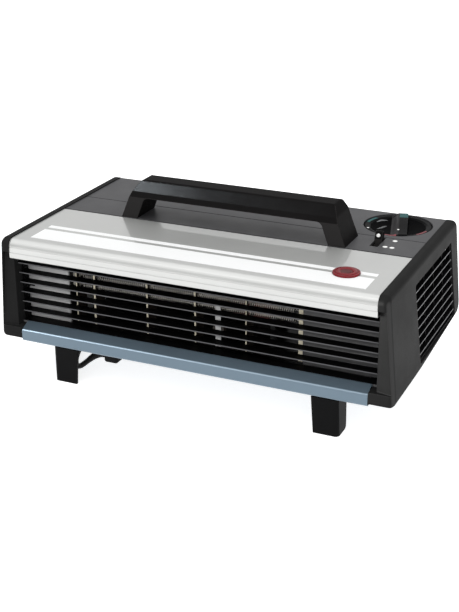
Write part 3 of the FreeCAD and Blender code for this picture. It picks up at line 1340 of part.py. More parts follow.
def wiring():
    """Three wires from the terminal block along the tray and up to the selector switch."""
    wires = []
    start = TERMINAL_X[1]
    z = TRAY_TOP + WIRE_RISE
    top = SWITCH_BOTTOM - SWITCH_TAG[2]
    for i, end_d in enumerate(SWITCH_TAG_DS):
        d = sum(TERMINAL_D) / 2 + i * WIRE_STEP - WIRE_SHIFT
        x = SLOT_X + (i - 1) * WIRE_STEP
        points = [(start, depth(d), z), (start + WIRE_RUN, depth(d), z)]
        points += [(x + across, depth(d + back), z + rise) for across, back, rise in WIRE_BENDS]
        points += [(SLOT_X, depth(d + WIRE_CLIMB[0]), z + WIRE_CLIMB[1]),
                   (SLOT_X, depth(end_d), top - WIRE_DROP), (SLOT_X, depth(end_d), top)]
        wires.append(tube(points, WIRE, "wire"))
    return group(wires)


CORD_ROUTE = [(LEFT_FOOT_X + x, depth(d), BASE_BOTTOM - drop)
              for (x, d), drop in zip(CORD_EXIT, CORD_EXIT_DROPS)]
CORD_ROUTE += [(LEFT_FOOT_X + x, depth(d), z) for x, d, z in CORD_UNDER]
CORD_ROUTE += [(LEFT_FOOT_X + x, depth(BODY_D + d), z) for x, d, z in CORD_BEHIND]
CORD_START = Vec(*CORD_ROUTE[0])
CORD_EXIT_WAY = (Vec(*CORD_ROUTE[1]) - CORD_START).normalize()


def cord_gland():
    block = box(*GLAND_X, *GLAND_D, GLAND_BOTTOM, BASE_BOTTOM)
    block = block.makeFillet(GLAND_ROUND, [e for e in block.Edges if e.BoundBox.ZMin < BASE_BOTTOM - 0.1])
    sleeve = Part.makeCylinder(SLEEVE_RADIUS, 2 * SLEEVE_LENGTH, CORD_START, CORD_EXIT_WAY * -1)
    above = box(GLAND_X[0] - OVER, GLAND_X[1], GLAND_D[0] - OVER, GLAND_D[1] + OVER,
                BASE_BOTTOM, BASE_BOTTOM + OVER)
    return fused(block, sleeve.cut(above))


def power_cord():
    return tube(CORD_ROUTE, CORD, "power cord")


COIL_INNER = COIL_OUTER - COIL_STEP * COIL_TURNS / 2
COIL_START = Vec(*CORD_ROUTE[-1])
COIL_WAY = COIL_START - Vec(*CORD_ROUTE[-2])
COIL_WAY.z = 0
COIL_WAY.normalize()
SPIRAL_START = COIL_START + COIL_WAY * CORD
SPIRAL_PITCH_ANGLE = math.atan2(COIL_STEP / (2 * math.pi), COIL_OUTER)
SPIRAL_ANGLE = math.atan2(COIL_WAY.y, COIL_WAY.x) + math.pi / 2 + SPIRAL_PITCH_ANGLE
COIL_CENTRE = SPIRAL_START - Vec(math.cos(SPIRAL_ANGLE), math.sin(SPIRAL_ANGLE), 0) * COIL_OUTER


def coil_spot(turn):
    """Point of the put-away coil: in on the lower layer, out on the upper one, climbing where it reverses."""
    climb = min(max((turn - COIL_TURNS / 2) / 0.5 + 0.5, 0.0), 1.0)
    radius = COIL_OUTER - COIL_STEP * min(turn, COIL_TURNS - turn)
    angle = SPIRAL_ANGLE - 2 * math.pi * turn
    rise = LAYER * climb * climb * (3 - 2 * climb)
    return COIL_CENTRE + Vec(radius * math.cos(angle), radius * math.sin(angle), rise)


def coil_station(turn):
    step = 0.002
    ahead = coil_spot(min(turn + step, COIL_TURNS))
    behind = coil_spot(max(turn - step, 0.0))
    return coil_spot(turn), (ahead - behind).normalize()


COIL_LAST, COIL_LAST_WAY = coil_station(COIL_TURNS)
COIL_END = COIL_LAST + COIL_LAST_WAY * CORD


def cord_coil():
    steps = math.ceil(COIL_TURNS * 4)
    stations = [(COIL_START, COIL_WAY)]
    stations += [coil_station(COIL_TURNS * i / steps) for i in range(steps + 1)]
    stations.append((COIL_END, COIL_LAST_WAY))
    shape, path = wound_tube(stations, CORD / 2)
    print("cord coil length %.0f, least gap %.2f" % (path.Length, least_gap(path, CORD, 4 * CORD)))
    return shape


def cord_tie():
    """Flat strap round both layers of the coil."""
    inner, outer = COIL_INNER - CORD / 2 - TIE_GAP, COIL_OUTER + CORD / 2 + TIE_GAP
    low, high = COIL_START.z - CORD / 2 - TIE_LIFT, COIL_START.z + LAYER + CORD / 2 + TIE_GAP
    shell = Part.makeBox(outer - inner + 2 * TIE_THICK, TIE_WIDTH, high - low + 2 * TIE_THICK,
                         Vec(inner - TIE_THICK, -TIE_WIDTH / 2, low - TIE_THICK))
    shell = shell.makeFillet(TIE_ROUND, [e for e in shell.Edges if e.BoundBox.YLength > TIE_WIDTH / 2])
    hole = Part.makeBox(outer - inner, TIE_WIDTH + 2 * OVER, high - low,
                        Vec(inner, -TIE_WIDTH / 2 - OVER, low))
    strap = shell.cut(hole)
    strap.rotate(Vec(0, 0, 0), Vec(0, 0, 1), math.degrees(TIE_ANGLE))
    strap.translate(Vec(COIL_CENTRE.x, COIL_CENTRE.y, 0))
    return strap


def lead_points():
    """The plug lead's route: its points are offsets along and beside the coil's last direction."""
    ahead = Vec(COIL_LAST_WAY.x, COIL_LAST_WAY.y, 0).normalize()
    beside = Vec(-ahead.y, ahead.x, 0)
    spots = [COIL_END]
    for along, across, rise in LEAD_ROUTE:
        spots.append(COIL_END + ahead * along + beside * across + Vec(0, 0, rise))
    return [(p.x, p.y, p.z) for p in spots]


def plug_lead():
    return tube(lead_points(), CORD, "plug lead")


PLUG_AT = Vec(*lead_points()[-1])
PLUG_WAY = (PLUG_AT - Vec(*lead_points()[-2]))
PLUG_WAY.z = 0
PLUG_WAY.normalize()
PLUG_HALF = PLUG_AT.z - PLUG_LIFT


def plug_frame(shape):
    """Moves a piece drawn along +X from the origin to the plug's place."""
    shape.rotate(Vec(0, 0, 0), Vec(0, 0, 1), math.degrees(math.atan2(PLUG_WAY.y, PLUG_WAY.x)))
    shape.translate(PLUG_AT)
    return shape


def plug_body():
    """Moulded three-pin plug lying on its flat side, with a tapered neck towards the cord."""
    neck = Part.makeCone(*PLUG_NECK_RADII, PLUG_NECK, Vec(0, 0, 0), Vec(1, 0, 0))
    back, front = PLUG_NECK - PLUG_NECK_SINK, PLUG_NECK + PLUG_LENGTH
    bend = PLUG_NECK + PLUG_SHOULDER_LENGTH
    plan = [(back, -PLUG_SHOULDER), (bend, -PLUG_RADIUS), (front, -PLUG_RADIUS),
            (front, PLUG_RADIUS), (bend, PLUG_RADIUS), (back, PLUG_SHOULDER)]
    face = outline(plan, lambda x, y: Vec(x, y, -PLUG_HALF), {i: PLUG_CORNER for i in (0, 1, 4, 5)})
    body = face.extrude(Vec(0, 0, 2 * PLUG_HALF))
    shape = fused(body, neck)
    return plug_frame(shape)


def plug_pins():
    face = PLUG_NECK + PLUG_LENGTH
    spots = [(side * PIN_STEP / 2, -PIN_DROP, PIN_LENGTH, PIN_RADIUS) for side in (-1, 1)]
    spots.append((0.0, EARTH_RISE, EARTH_LENGTH, EARTH_RADIUS))
    pins = [Part.makeCylinder(r, length, Vec(face, y, z), Vec(1, 0, 0)) for y, z, length, r in spots]
    return group([plug_frame(pin) for pin in pins])


RIGHT_CAP = right_end_cap()
RIGHT_VENT = right_vent_grille()

NODES = {
    "base_tray": base_tray(),
    "front_cover": front_cover(),
    "control_panel": control_panel(),
    "rear_panel": rear_panel(),
    "right_end_cap": RIGHT_CAP,
    "left_end_cap": mirrored(RIGHT_CAP),
    "right_vent_grille": RIGHT_VENT,
    "left_vent_grille": mirrored(RIGHT_VENT),
    "front_grille": front_grille(),
    "trim_stripes": trim_stripes(),
    "handle": handle(),
    "handle_screws": handle_screws(),
    "case_screws": case_screws(),
    "foot_screws": foot_screws(),
    "thermostat_knob": thermostat_knob(),
    "thermostat_spindle": thermostat_spindle(),
    "thermostat_body": thermostat_body(),
    "thermostat_nut": thermostat_nut(),
    "selector_lever": selector_lever(),
    "selector_switch": selector_switch(),
    "pilot_bezel": pilot_bezel(),
    "pilot_lens": pilot_lens(),
    "lamp_holder": lamp_holder(),
    "neon_lamp": neon_lamp(),
    "left_baffle": baffle(DUCT_LEFT, -1, BUSH_RADIUS),
    "right_baffle": baffle(DUCT_RIGHT, 1, 0),
    "heat_shield": heat_shield(),
    "blower_scroll": blower_scroll(),
    "blower_tongue": blower_tongue(),
    "blower_end_plate": blower_end_plate(),
    "impeller": impeller(),
    "fan_shaft": fan_shaft(),
    "shaft_bush": shaft_bush(),
    "motor_core": motor_core(),
    "motor_winding": motor_winding(),
    "motor_rotor": motor_rotor(),
    "left_motor_bracket": motor_bracket(-1),
    "right_motor_bracket": motor_bracket(1),
    "motor_screws": motor_screws(),
    "motor_mount": motor_mount(),
    "element_frame": element_frame(),
    "mica_cards": mica_cards(),
    "coil_terminals": coil_terminals(),
    "upper_heating_coil": heating_coil(COIL_ROWS[0]),
    "lower_heating_coil": heating_coil(COIL_ROWS[1]),
    "cutout_bracket": cutout_bracket(),
    "thermal_cutout": thermal_cutout(),
    "terminal_block": terminal_block(),
    "wiring": wiring(),
    "cord_gland": cord_gland(),
    "power_cord": power_cord(),
    "cord_coil": cord_coil(),
    "cord_tie": cord_tie(),
    "plug_lead": plug_lead(),
    "plug_body": plug_body(),
    "plug_pins": plug_pins(),
}
for name, (x, side, facing) in FEET.items():
    NODES[name] = foot(x, side, facing)

for name, shape in NODES.items():
    shape.exportStep("parts/%s.step" % name)
    print(name, len(shape.Solids), shape.isValid(), round(shape.Volume / 1000, 2))
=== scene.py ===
import math

import bmesh
import bpy
from mathutils import Matrix, Vector


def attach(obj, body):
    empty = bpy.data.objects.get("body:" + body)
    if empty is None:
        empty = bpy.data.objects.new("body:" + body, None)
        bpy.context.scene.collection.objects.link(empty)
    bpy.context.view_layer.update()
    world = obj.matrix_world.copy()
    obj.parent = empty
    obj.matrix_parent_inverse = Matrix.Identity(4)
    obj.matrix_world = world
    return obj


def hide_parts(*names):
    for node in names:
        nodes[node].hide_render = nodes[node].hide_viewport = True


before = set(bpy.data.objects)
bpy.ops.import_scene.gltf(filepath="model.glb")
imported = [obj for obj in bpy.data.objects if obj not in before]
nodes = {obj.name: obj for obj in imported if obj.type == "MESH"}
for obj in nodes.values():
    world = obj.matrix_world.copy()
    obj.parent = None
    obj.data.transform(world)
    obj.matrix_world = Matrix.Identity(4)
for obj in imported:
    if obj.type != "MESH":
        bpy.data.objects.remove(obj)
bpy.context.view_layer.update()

scene = bpy.context.scene
scene.view_settings.view_transform = "Standard"
MM = 0.001
UP = Vector((0, 0, 1))


def mm(x, y, z):
    return Vector((x, y, z)) * MM


def srgb(r, g, b):
    """Linear colour of an sRGB one in 0 to 255."""
    def linear(c):
        c /= 255.0
        return c / 12.92 if c <= 0.04045 else ((c + 0.055) / 1.055) ** 2.4
    return (linear(r), linear(g), linear(b), 1.0)


def scaled(colour, factor):
    return (*[min(1.0, c * factor) for c in colour[:3]], 1.0)


def set_range(node, low, high, to_low, to_high):
    """Sets what a Map Range node maps from and to."""
    for key, number in (("From Min", low), ("From Max", high), ("To Min", to_low), ("To Max", to_high)):
        node.inputs[key].default_value = number


# Materials

NOISE_RANGE = (0.2, 0.8)    # where a noise's values mostly lie
FACING = (0.8, 0.95)        # cosines between which a face begins to look along an axis
BORDER = 0.0003             # width in metres of the blend between two colours of a material


class Surface:
    """A node material built up step by step on one Principled shader."""

    def __init__(self, name, colour, rough, metallic=0.0, specular=0.5):
        self.mat = bpy.data.materials.new(name)
        self.mat.use_nodes = True
        self.nodes = self.mat.node_tree.nodes
        self.links = self.mat.node_tree.links
        self.shader = self.nodes["Principled BSDF"]
        self.colour = colour
        self.rough = rough
        self.set("Base Color", colour)
        self.set("Roughness", rough)
        self.set("Metallic", metallic)
        self.set("Specular IOR Level", specular)
        self.place = self.node("ShaderNodeTexCoord").outputs["Object"]
        self.tint = None
        self.normal = None

    def set(self, socket, value):
        self.shader.inputs[socket].default_value = value
        return self

    def node(self, kind, **settings):
        made = self.nodes.new(kind)
        for key, value in settings.items():
            setattr(made, key, value)
        return made

    def link(self, a, b):
        self.links.new(a, b)

    def stretch(self, factors):
        mapping = self.node("ShaderNodeMapping")
        mapping.inputs["Scale"].default_value = factors
        self.link(self.place, mapping.inputs["Vector"])
        return mapping.outputs["Vector"]

    def noise(self, scale, detail, rough, factors=None):
        tex = self.node("ShaderNodeTexNoise")
        tex.inputs["Scale"].default_value = scale
        tex.inputs["Detail"].default_value = detail
        tex.inputs["Roughness"].default_value = rough
        self.link(self.stretch(factors) if factors else self.place, tex.inputs["Vector"])
        return tex.outputs["Fac"]

    def span(self, value, low, high, to_low, to_high, curve="LINEAR"):
        node = self.node("ShaderNodeMapRange", interpolation_type=curve)
        set_range(node, low, high, to_low, to_high)
        self.link(value, node.inputs["Value"])
        return node.outputs["Result"]

    def product(self, first, second):
        node = self.node("ShaderNodeMath", operation="MULTIPLY")
        self.link(first, node.inputs[0])
        self.link(second, node.inputs[1])
        return node.outputs[0]

    def along(self, vector, axis):
        """How far a vector reaches along an axis, either way."""
        size = self.node("ShaderNodeVectorMath", operation="ABSOLUTE")
        self.link(vector, size.inputs[0])
        reach = self.node("ShaderNodeVectorMath", operation="DOT_PRODUCT")
        reach.inputs[1].default_value = axis
        self.link(size.outputs["Vector"], reach.inputs[0])
        return reach.outputs["Value"]

    def height(self, vector):
        parts = self.node("ShaderNodeSeparateXYZ")
        self.link(vector, parts.inputs[0])
        return parts.outputs["Z"]

    def mix(self, share, first, second):
        node = self.node("ShaderNodeMix", data_type="RGBA")
        for value, socket in ((first, node.inputs[6]), (second, node.inputs[7])):
            if isinstance(value, bpy.types.NodeSocket):
                self.link(value, socket)
            else:
                socket.default_value = value
        self.link(share, node.inputs[0])
        return node.outputs[2]

    def paint(self, result):
        self.tint = result
        self.link(result, self.shader.inputs["Base Color"])
        return self

    def paint_over(self, share, colour):
        """A colour laid by a share over what is painted so far."""
        before = self.tint if self.tint is not None else self.colour
        return self.paint(self.mix(share, before, colour))

    def mottle(self, amount, scale, factors=None):
        share = self.span(self.noise(scale, 4.0, 0.6, factors), *NOISE_RANGE, 0.0, 1.0, "SMOOTHSTEP")
        return self.paint(self.mix(share, scaled(self.colour, 1 - amount), scaled(self.colour, 1 + amount)))

    def gloss(self, amount, scale, factors=None):
        least, most = self.rough - amount, self.rough + amount
        value = self.span(self.noise(scale, 3.0, 0.6, factors), *NOISE_RANGE, least, most, "SMOOTHSTEP")
        self.link(value, self.shader.inputs["Roughness"])
        return self

    def rounded(self, radius, wear_and_highlight=0.0, lift=1.6):
        """Edges rounded in shading so they catch the light, and painted paler along them in patches: partly
        wear, partly a painted highlight.
        """
        bevel = self.node("ShaderNodeBevel", samples=4)
        bevel.inputs["Radius"].default_value = radius
        self.normal = bevel.outputs["Normal"]
        self.link(self.normal, self.shader.inputs["Normal"])
        # Painted highlight and wear: the edges' colour is raised by lift in noisy patches.
        if wear_and_highlight:
            flat = self.node("ShaderNodeNewGeometry").outputs["Normal"]
            turn = self.node("ShaderNodeVectorMath", operation="DOT_PRODUCT")
            self.link(self.normal, turn.inputs[0])
            self.link(flat, turn.inputs[1])
            edge = self.span(turn.outputs["Value"], 0.995, 0.86, 0.0, 1.0)
            patchy = self.span(self.noise(140.0, 3.0, 0.55), 0.35, 0.7, 0.3 * wear_and_highlight, wear_and_highlight)
            self.paint_over(self.product(edge, patchy), scaled(self.colour, lift))
        return self

    def facing(self, axis, colour, beyond=None, near=FACING):
        """A second colour on the faces that look along an axis, either way, and lie beyond a plane."""
        flat = self.node("ShaderNodeNewGeometry").outputs["True Normal"]
        share = self.span(self.along(flat, axis), *near, 0.0, 1.0)
        if beyond:
            plane, least = beyond
            past = self.span(self.along(self.place, plane), least, least + BORDER, 0.0, 1.0)
            share = self.product(share, past)
        return self.paint_over(share, colour)

    def inner_floor(self, below, colour):
        """A second colour on the faces that look up from below a height: painted shade on an inner floor."""
        flat = self.node("ShaderNodeNewGeometry").outputs["True Normal"]
        upward = self.span(self.height(flat), *FACING, 0.0, 1.0)
        under = self.span(self.height(self.place), below, below - BORDER, 0.0, 1.0)
        return self.paint_over(self.product(upward, under), colour)

    def bump(self, height, strength, distance):
        node = self.node("ShaderNodeBump")
        node.inputs["Strength"].default_value = strength
        node.inputs["Distance"].default_value = distance
        self.link(height, node.inputs["Height"])
        if self.normal is not None:
            self.link(self.normal, node.inputs["Normal"])
        self.normal = node.outputs["Normal"]
        self.link(self.normal, self.shader.inputs["Normal"])
        return self

    def grain(self, scale, strength, distance=0.0002, factors=None):
        return self.bump(self.noise(scale, 2.0, 0.5, factors), strength, distance)

    def waves(self, axis, scale, strength, distance, blend, dark):
        """Fine ridges across an axis, darker between them."""
        wave = self.node("ShaderNodeTexWave", bands_direction=axis)
        wave.inputs["Scale"].default_value = scale
        wave.inputs["Distortion"].default_value = 0.4
        self.link(self.place, wave.inputs["Vector"])
        self.paint_over(self.span(wave.outputs["Fac"], 0.0, 1.0, blend, 0.0), scaled(self.colour, dark))
        return self.bump(wave.outputs["Fac"], strength, distance)


def plastic(name, colour, rough, ior=1.45, bevel=0.0006, wear_and_highlight=0.35, grain=0.12, lift=1.8):
    made = Surface(name, colour, rough).set("IOR", ior)
    return made.mottle(0.07, 32.0).gloss(0.06, 14.0).rounded(bevel, wear_and_highlight, lift).grain(2600.0, grain)


def paint_coat(name, colour, rough, metallic, bevel=0.0006, wear_and_highlight=0.25, lift=1.25):
    made = Surface(name, colour, rough, metallic)
    return made.mottle(0.035, 9.0).gloss(0.04, 6.0).rounded(bevel, wear_and_highlight, lift).grain(3600.0, 0.05)


def metal(name, colour, rough, stretch=(1.0, 14.0, 14.0), mottle=0.12):
    made = Surface(name, colour, rough, 1.0).mottle(mottle, 26.0).gloss(0.08, 60.0, stretch)
    return made.rounded(0.0004, 0.3, 1.4).grain(700.0, 0.08, 0.0001, stretch)


def zinc_sheet(name, colour, rough):
    made = Surface(name, colour, rough, 0.3, 0.4).mottle(0.1, 40.0, (1.0, 1.0, 5.0)).gloss(0.08, 30.0)
    return made.rounded(0.0004, 0.3, 1.4).grain(900.0, 0.1)


def ink(name, colour, rough, uneven, patches, gloss=0.06, grain=0.1):
    return Surface(name, colour, rough).mottle(uneven, patches).gloss(gloss, 80.0).grain(2600.0, grain)


# Case, from the outside in
silver = paint_coat("silver_enamel", srgb(198, 199, 197), 0.34, 0.4)
silver.set("Coat Weight", 1.0).set("Coat IOR", 1.9).set("Coat Roughness", 0.04)
grey_panel = plastic("grey_moulding", srgb(68, 68, 70), 0.42, 1.38, wear_and_highlight=0.25, lift=1.6)
# End caps: the paler edges (lift 3.0) are partly wear and partly painted highlight, and faces turned between
# front and side are painted lighter, a painted highlight on the rounded corners.
charcoal = plastic("charcoal_moulding", srgb(38, 38, 38), 0.42, 1.07, bevel=0.0012, wear_and_highlight=0.6, lift=3.0)
charcoal.facing((0.78, 0.62, 0.0), srgb(66, 66, 66), near=(0.86, 0.98))
# Grille slats: black, with their front faces painted paler, a painted highlight where light falls on them.
louvre = plastic("louvre_moulding", srgb(10, 10, 11), 0.5, 1.12, bevel=0.0004, wear_and_highlight=0.0)
louvre.facing((0.0, 1.0, 0.0), srgb(104, 104, 106), ((0.0, 1.0, 0.0), 0.112))
# Side vents: black slats whose outer edges are painted pale, a painted highlight.
vent = plastic("vent_moulding", srgb(10, 10, 11), 0.5, 1.1, bevel=0.0003, wear_and_highlight=0.0)
vent.facing((1.0, 0.0, 0.0), srgb(150, 150, 152), ((1.0, 0.0, 0.085), 0.2379))
# Black mouldings: the pale edges (lift 8.0) are mostly painted highlight with some wear, and faces looking
# front or back are painted lighter, a painted reflection.
black = plastic("black_moulding", srgb(23, 22, 22), 0.2, 1.05, bevel=0.0014, wear_and_highlight=0.7, lift=8.0)
black.facing((0.0, 1.0, 0.0), srgb(46, 45, 45), near=(0.95, 0.99))
# Knob: its left bar flank is painted grey, a painted highlight where light falls, and its scoops are painted
# blacker as painted shade.
knob_black = plastic("knob_black", srgb(15, 15, 16), 0.3, 1.1, bevel=0.0004, wear_and_highlight=0.0)
scoop_shade_black = plastic("knob_scoop_painted_shade", srgb(5, 5, 6), 0.4, 1.04, bevel=0.0004, wear_and_highlight=0.0)
knob_lit_flank = plastic("knob_lit_flank", srgb(42, 41, 42), 0.42, 1.15, bevel=0.0006, wear_and_highlight=0.5, lift=3.0)
foot_black = plastic("foot_moulding", srgb(12, 12, 13), 0.5, 1.16, bevel=0.0008, wear_and_highlight=0.4, lift=3.0)
blue = paint_coat("blue_enamel", srgb(106, 123, 136), 0.34, 0.55, bevel=0.0007, wear_and_highlight=0.4, lift=1.9)
# Painted highlight along the fold between the sill's slope and its front lip; the paler edges (lift 1.9) are
# partly wear and partly painted highlight.
blue.facing((0.0, 0.8155, 0.5788), srgb(136, 153, 166), near=(0.945, 0.985))
# Painted shade: the tray's inner floor, under the works, nearly black.
blue.inner_floor(0.0436, srgb(12, 12, 13))
back_steel = paint_coat("grey_enamel", srgb(122, 123, 125), 0.42, 0.2)
white_trim = Surface("white_trim", srgb(248, 249, 249), 0.34)
white_trim.mottle(0.01, 5.0).gloss(0.02, 8.0).grain(1800.0, 0.02)
red_clear = Surface("red_lens", srgb(118, 4, 20), 0.25, 0.0, 0.2).mottle(0.12, 60.0).gloss(0.05, 40.0)
red_clear.rounded(0.0004, 0.4, 1.8).set("Coat Weight", 0.2).set("Coat Roughness", 0.1)
# Painted reflection: the lens's flat centre is painted a darker brownish red.
lens_centre_reflection = Surface("red_lens_centre_reflection", srgb(82, 24, 26), 0.35, 0.0, 0.3)
lens_centre_reflection.mottle(0.15, 90.0).gloss(0.06, 60.0).grain(900.0, 0.15)
white_print = ink("white_print", srgb(250, 250, 248), 0.45, 0.03, 90.0, gloss=0.05, grain=0.08)
teal_print = ink("teal_print", srgb(38, 84, 84), 0.4, 0.12, 120.0).set("IOR", 1.2)
red_print = ink("red_print", srgb(122, 44, 52), 0.45, 0.15, 120.0)

# Works
zinc = metal("zinc_steel", srgb(176, 178, 180), 0.42)
# Painted shade: the works behind the grille are darkened steel, dark as the shade inside the case.
interior_shade_steel = metal("shade_darkened_steel", srgb(58, 56, 56), 0.6)
screw_steel = metal("screw_steel", srgb(168, 168, 170), 0.32, (6.0, 6.0, 6.0))
# The baffles are lit and shaded copies of one zinc sheet: the right baffle's darker copy is painted shade.
baffle_zinc = zinc_sheet("baffle_zinc", srgb(198, 198, 198), 0.5)
zinc_in_painted_shade = zinc_sheet("zinc_in_painted_shade", srgb(84, 84, 85), 0.55)
core_steel = metal("core_steel", srgb(70, 70, 73), 0.5, (14.0, 1.0, 1.0))
core_steel.waves("X", 320.0, 0.5, 0.0003, 0.5, 0.5)
fan_metal = metal("fan_aluminium", srgb(120, 121, 123), 0.45)
bush_metal = metal("bush_brass", srgb(176, 146, 86), 0.45)
winding = Surface("winding_tape", srgb(104, 50, 40), 0.5, 0.0, 0.4).mottle(0.2, 60.0)
winding.rounded(0.001).waves("Z", 260.0, 0.5, 0.0004, 0.5, 0.6)
# Mica cards: dark brown, with the faces looking front painted pale, a painted highlight on their front
# edges.
mica = Surface("mica", srgb(44, 38, 33), 0.6, 0.0, 0.3).mottle(0.16, 60.0, (1.0, 1.0, 3.0)).gloss(0.1, 50.0)
mica.facing((0.0, 1.0, 0.0), srgb(232, 224, 200)).rounded(0.0003).grain(600.0, 0.25)
ceramic = Surface("ceramic", srgb(206, 202, 190), 0.3)
ceramic.mottle(0.06, 70.0).gloss(0.06, 50.0).rounded(0.0006).grain(1500.0, 0.08)
heater_wire = metal("resistance_wire", srgb(226, 222, 216), 0.4, (3.0, 3.0, 3.0), 0.2)
inner_plastic = plastic("inner_moulding", srgb(54, 47, 42), 0.55)
glass = Surface("lamp_glass", srgb(240, 220, 200), 0.08).mottle(0.05, 90.0).gloss(0.03, 60.0)
glass.set("Transmission Weight", 0.8)
wire_skin = plastic("wire_insulation", srgb(150, 148, 140), 0.5, wear_and_highlight=0.0)

# Cord and plug
rubber = plastic("cord_rubber", srgb(16, 16, 17), 0.55, 1.2, bevel=0.0004, wear_and_highlight=0.25, grain=0.2)
pin_brass = metal("pin_brass", srgb(206, 176, 108), 0.28, (1.0, 8.0, 8.0))

FINISHES = {
    silver: ["front_cover"],
    grey_panel: ["control_panel"],
    charcoal: ["right_end_cap", "left_end_cap"],
    louvre: ["front_grille"],
    vent: ["right_vent_grille", "left_vent_grille"],
    black: ["handle", "selector_lever", "thermostat_knob"],
    foot_black: ["front_right_foot", "front_left_foot", "rear_right_foot", "rear_left_foot"],
    blue: ["base_tray"],
    back_steel: ["rear_panel"],
    white_trim: ["trim_stripes"],
    red_clear: ["pilot_lens", "pilot_bezel"],
    zinc: ["thermostat_spindle", "thermostat_nut", "fan_shaft"],
    interior_shade_steel: ["heat_shield", "blower_scroll", "blower_tongue", "blower_end_plate", "motor_mount",
            "element_frame"],
    screw_steel: ["handle_screws", "case_screws", "foot_screws", "motor_screws"],
    baffle_zinc: ["left_baffle", "cutout_bracket"],
    zinc_in_painted_shade: ["right_baffle"],
    core_steel: ["motor_core", "motor_rotor"],
    fan_metal: ["impeller", "left_motor_bracket", "right_motor_bracket"],
    bush_metal: ["shaft_bush"],
    winding: ["motor_winding"],
    mica: ["mica_cards"],
    ceramic: ["coil_terminals"],
    heater_wire: ["upper_heating_coil", "lower_heating_coil"],
    inner_plastic: ["thermostat_body", "selector_switch", "lamp_holder", "thermal_cutout", "terminal_block"],
    glass: ["neon_lamp"],
    wire_skin: ["wiring"],
    rubber: ["cord_gland", "power_cord", "cord_coil", "cord_tie", "plug_lead", "plug_body"],
    pin_brass: ["plug_pins"],
}
for surface, names in FINISHES.items():
    for name in names:
        mesh = nodes[name].data
        mesh.materials.clear()
        mesh.materials.append(surface.mat)


# Mesh helpers

def piece(name, mesh, surfaces, body, smooth=True):
    made = bpy.data.objects.new(name, mesh)
    scene.collection.objects.link(made)
    for surface in surfaces:
        mesh.materials.append(surface.mat)
    if smooth:
        mesh.polygons.foreach_set("use_smooth", [True] * len(mesh.polygons))
        mesh.update()
    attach(made, body)
    return made


def built(name, points, faces):
    mesh = bpy.data.meshes.new(name)
    mesh.from_pydata([tuple(p) for p in points], [], faces)
    mesh.validate()
    return mesh


def sharpen(mesh, degrees):
    """Keeps corners over this angle crisp under smooth shading."""
    bm = bmesh.new()
    bm.from_mesh(mesh)
    bmesh.ops.recalc_face_normals(bm, faces=bm.faces)
    limit = math.radians(degrees)
    for edge in bm.edges:
        edge.smooth = len(edge.link_faces) == 2 and edge.calc_face_angle(0.0) < limit
    bm.to_mesh(mesh)
    bm.free()
    return mesh


def welded(mesh):
    """Joins the points that lie on each other."""
    bm = bmesh.new()
    bm.from_mesh(mesh)
    bmesh.ops.remove_doubles(bm, verts=bm.verts, dist=1e-6)
    bm.to_mesh(mesh)
    bm.free()
    return mesh


def joined(parts):
    points, faces = [], []
    for p, f in parts:
        base = len(points)
        points += p
        faces += [tuple(base + i for i in face) for face in f]
    return points, faces


def spoke_faces(count, steps):
    """Faces between neighbouring spokes of count points each, all the way round."""
    faces = []
    for i in range(steps):
        j = (i + 1) % steps
        for k in range(count - 1):
            faces.append((i * count + k, j * count + k, j * count + k + 1, i * count + k + 1))
    return faces


def lathe(profile, at, axis, steps):
    """Points and faces of (radius, height) pairs turned about an axis through at, in millimetres."""
    turn = UP.rotation_difference(Vector(axis))
    points = []
    for i in range(steps):
        a = 2 * math.pi * i / steps
        for r, h in profile:
            points.append((turn @ Vector((r * math.cos(a), r * math.sin(a), h)) + Vector(at)) * MM)
    return points, spoke_faces(len(profile), steps)


def tube_mesh(line, radii, sides):
    """Closed tube along metre points, with a radius in metres at each."""
    points, faces = [], []
    total = len(line)
    side = None
    for i, here in enumerate(line):
        way = (line[min(i + 1, total - 1)] - line[max(i - 1, 0)]).normalized()
        if side is None:
            side = way.orthogonal().normalized()
        side = (side - way * side.dot(way)).normalized()
        up = way.cross(side)
        for k in range(sides):
            a = 2 * math.pi * k / sides
            points.append(here + (side * math.cos(a) + up * math.sin(a)) * radii[i])
    for i in range(total - 1):
        for k in range(sides):
            j = (k + 1) % sides
            faces.append((i * sides + k, i * sides + j, (i + 1) * sides + j, (i + 1) * sides + k))
    faces.append(tuple(reversed(range(sides))))
    faces.append(tuple((total - 1) * sides + k for k in range(sides)))
    return points, faces


# Camera, at the photograph's place
CAMERA = Vector((0.537334, -1.204204, 0.620322))
AZIMUTH, ELEVATION, ROLL = (math.radians(a) for a in (24.25875, 22.67457, 0.328495))
back = Vector((math.sin(AZIMUTH) * math.cos(ELEVATION),
               -math.cos(AZIMUTH) * math.cos(ELEVATION), math.sin(ELEVATION)))
level = (-back).cross(UP).normalized()
under = (-back).cross(level)
right = level * math.cos(ROLL) + under * math.sin(ROLL)
down = under * math.cos(ROLL) - level * math.sin(ROLL)
camera = bpy.data.objects.new("camera", bpy.data.cameras.new("camera"))
scene.collection.objects.link(camera)
camera.data.lens = 72.279
camera.data.sensor_width = 36.0
camera.data.clip_start = 0.01
camera.data.clip_end = 100.0
camera.matrix_world = Matrix.Translation(CAMERA) @ Matrix((right, -down, back)).transposed().to_4x4()
scene.camera = camera

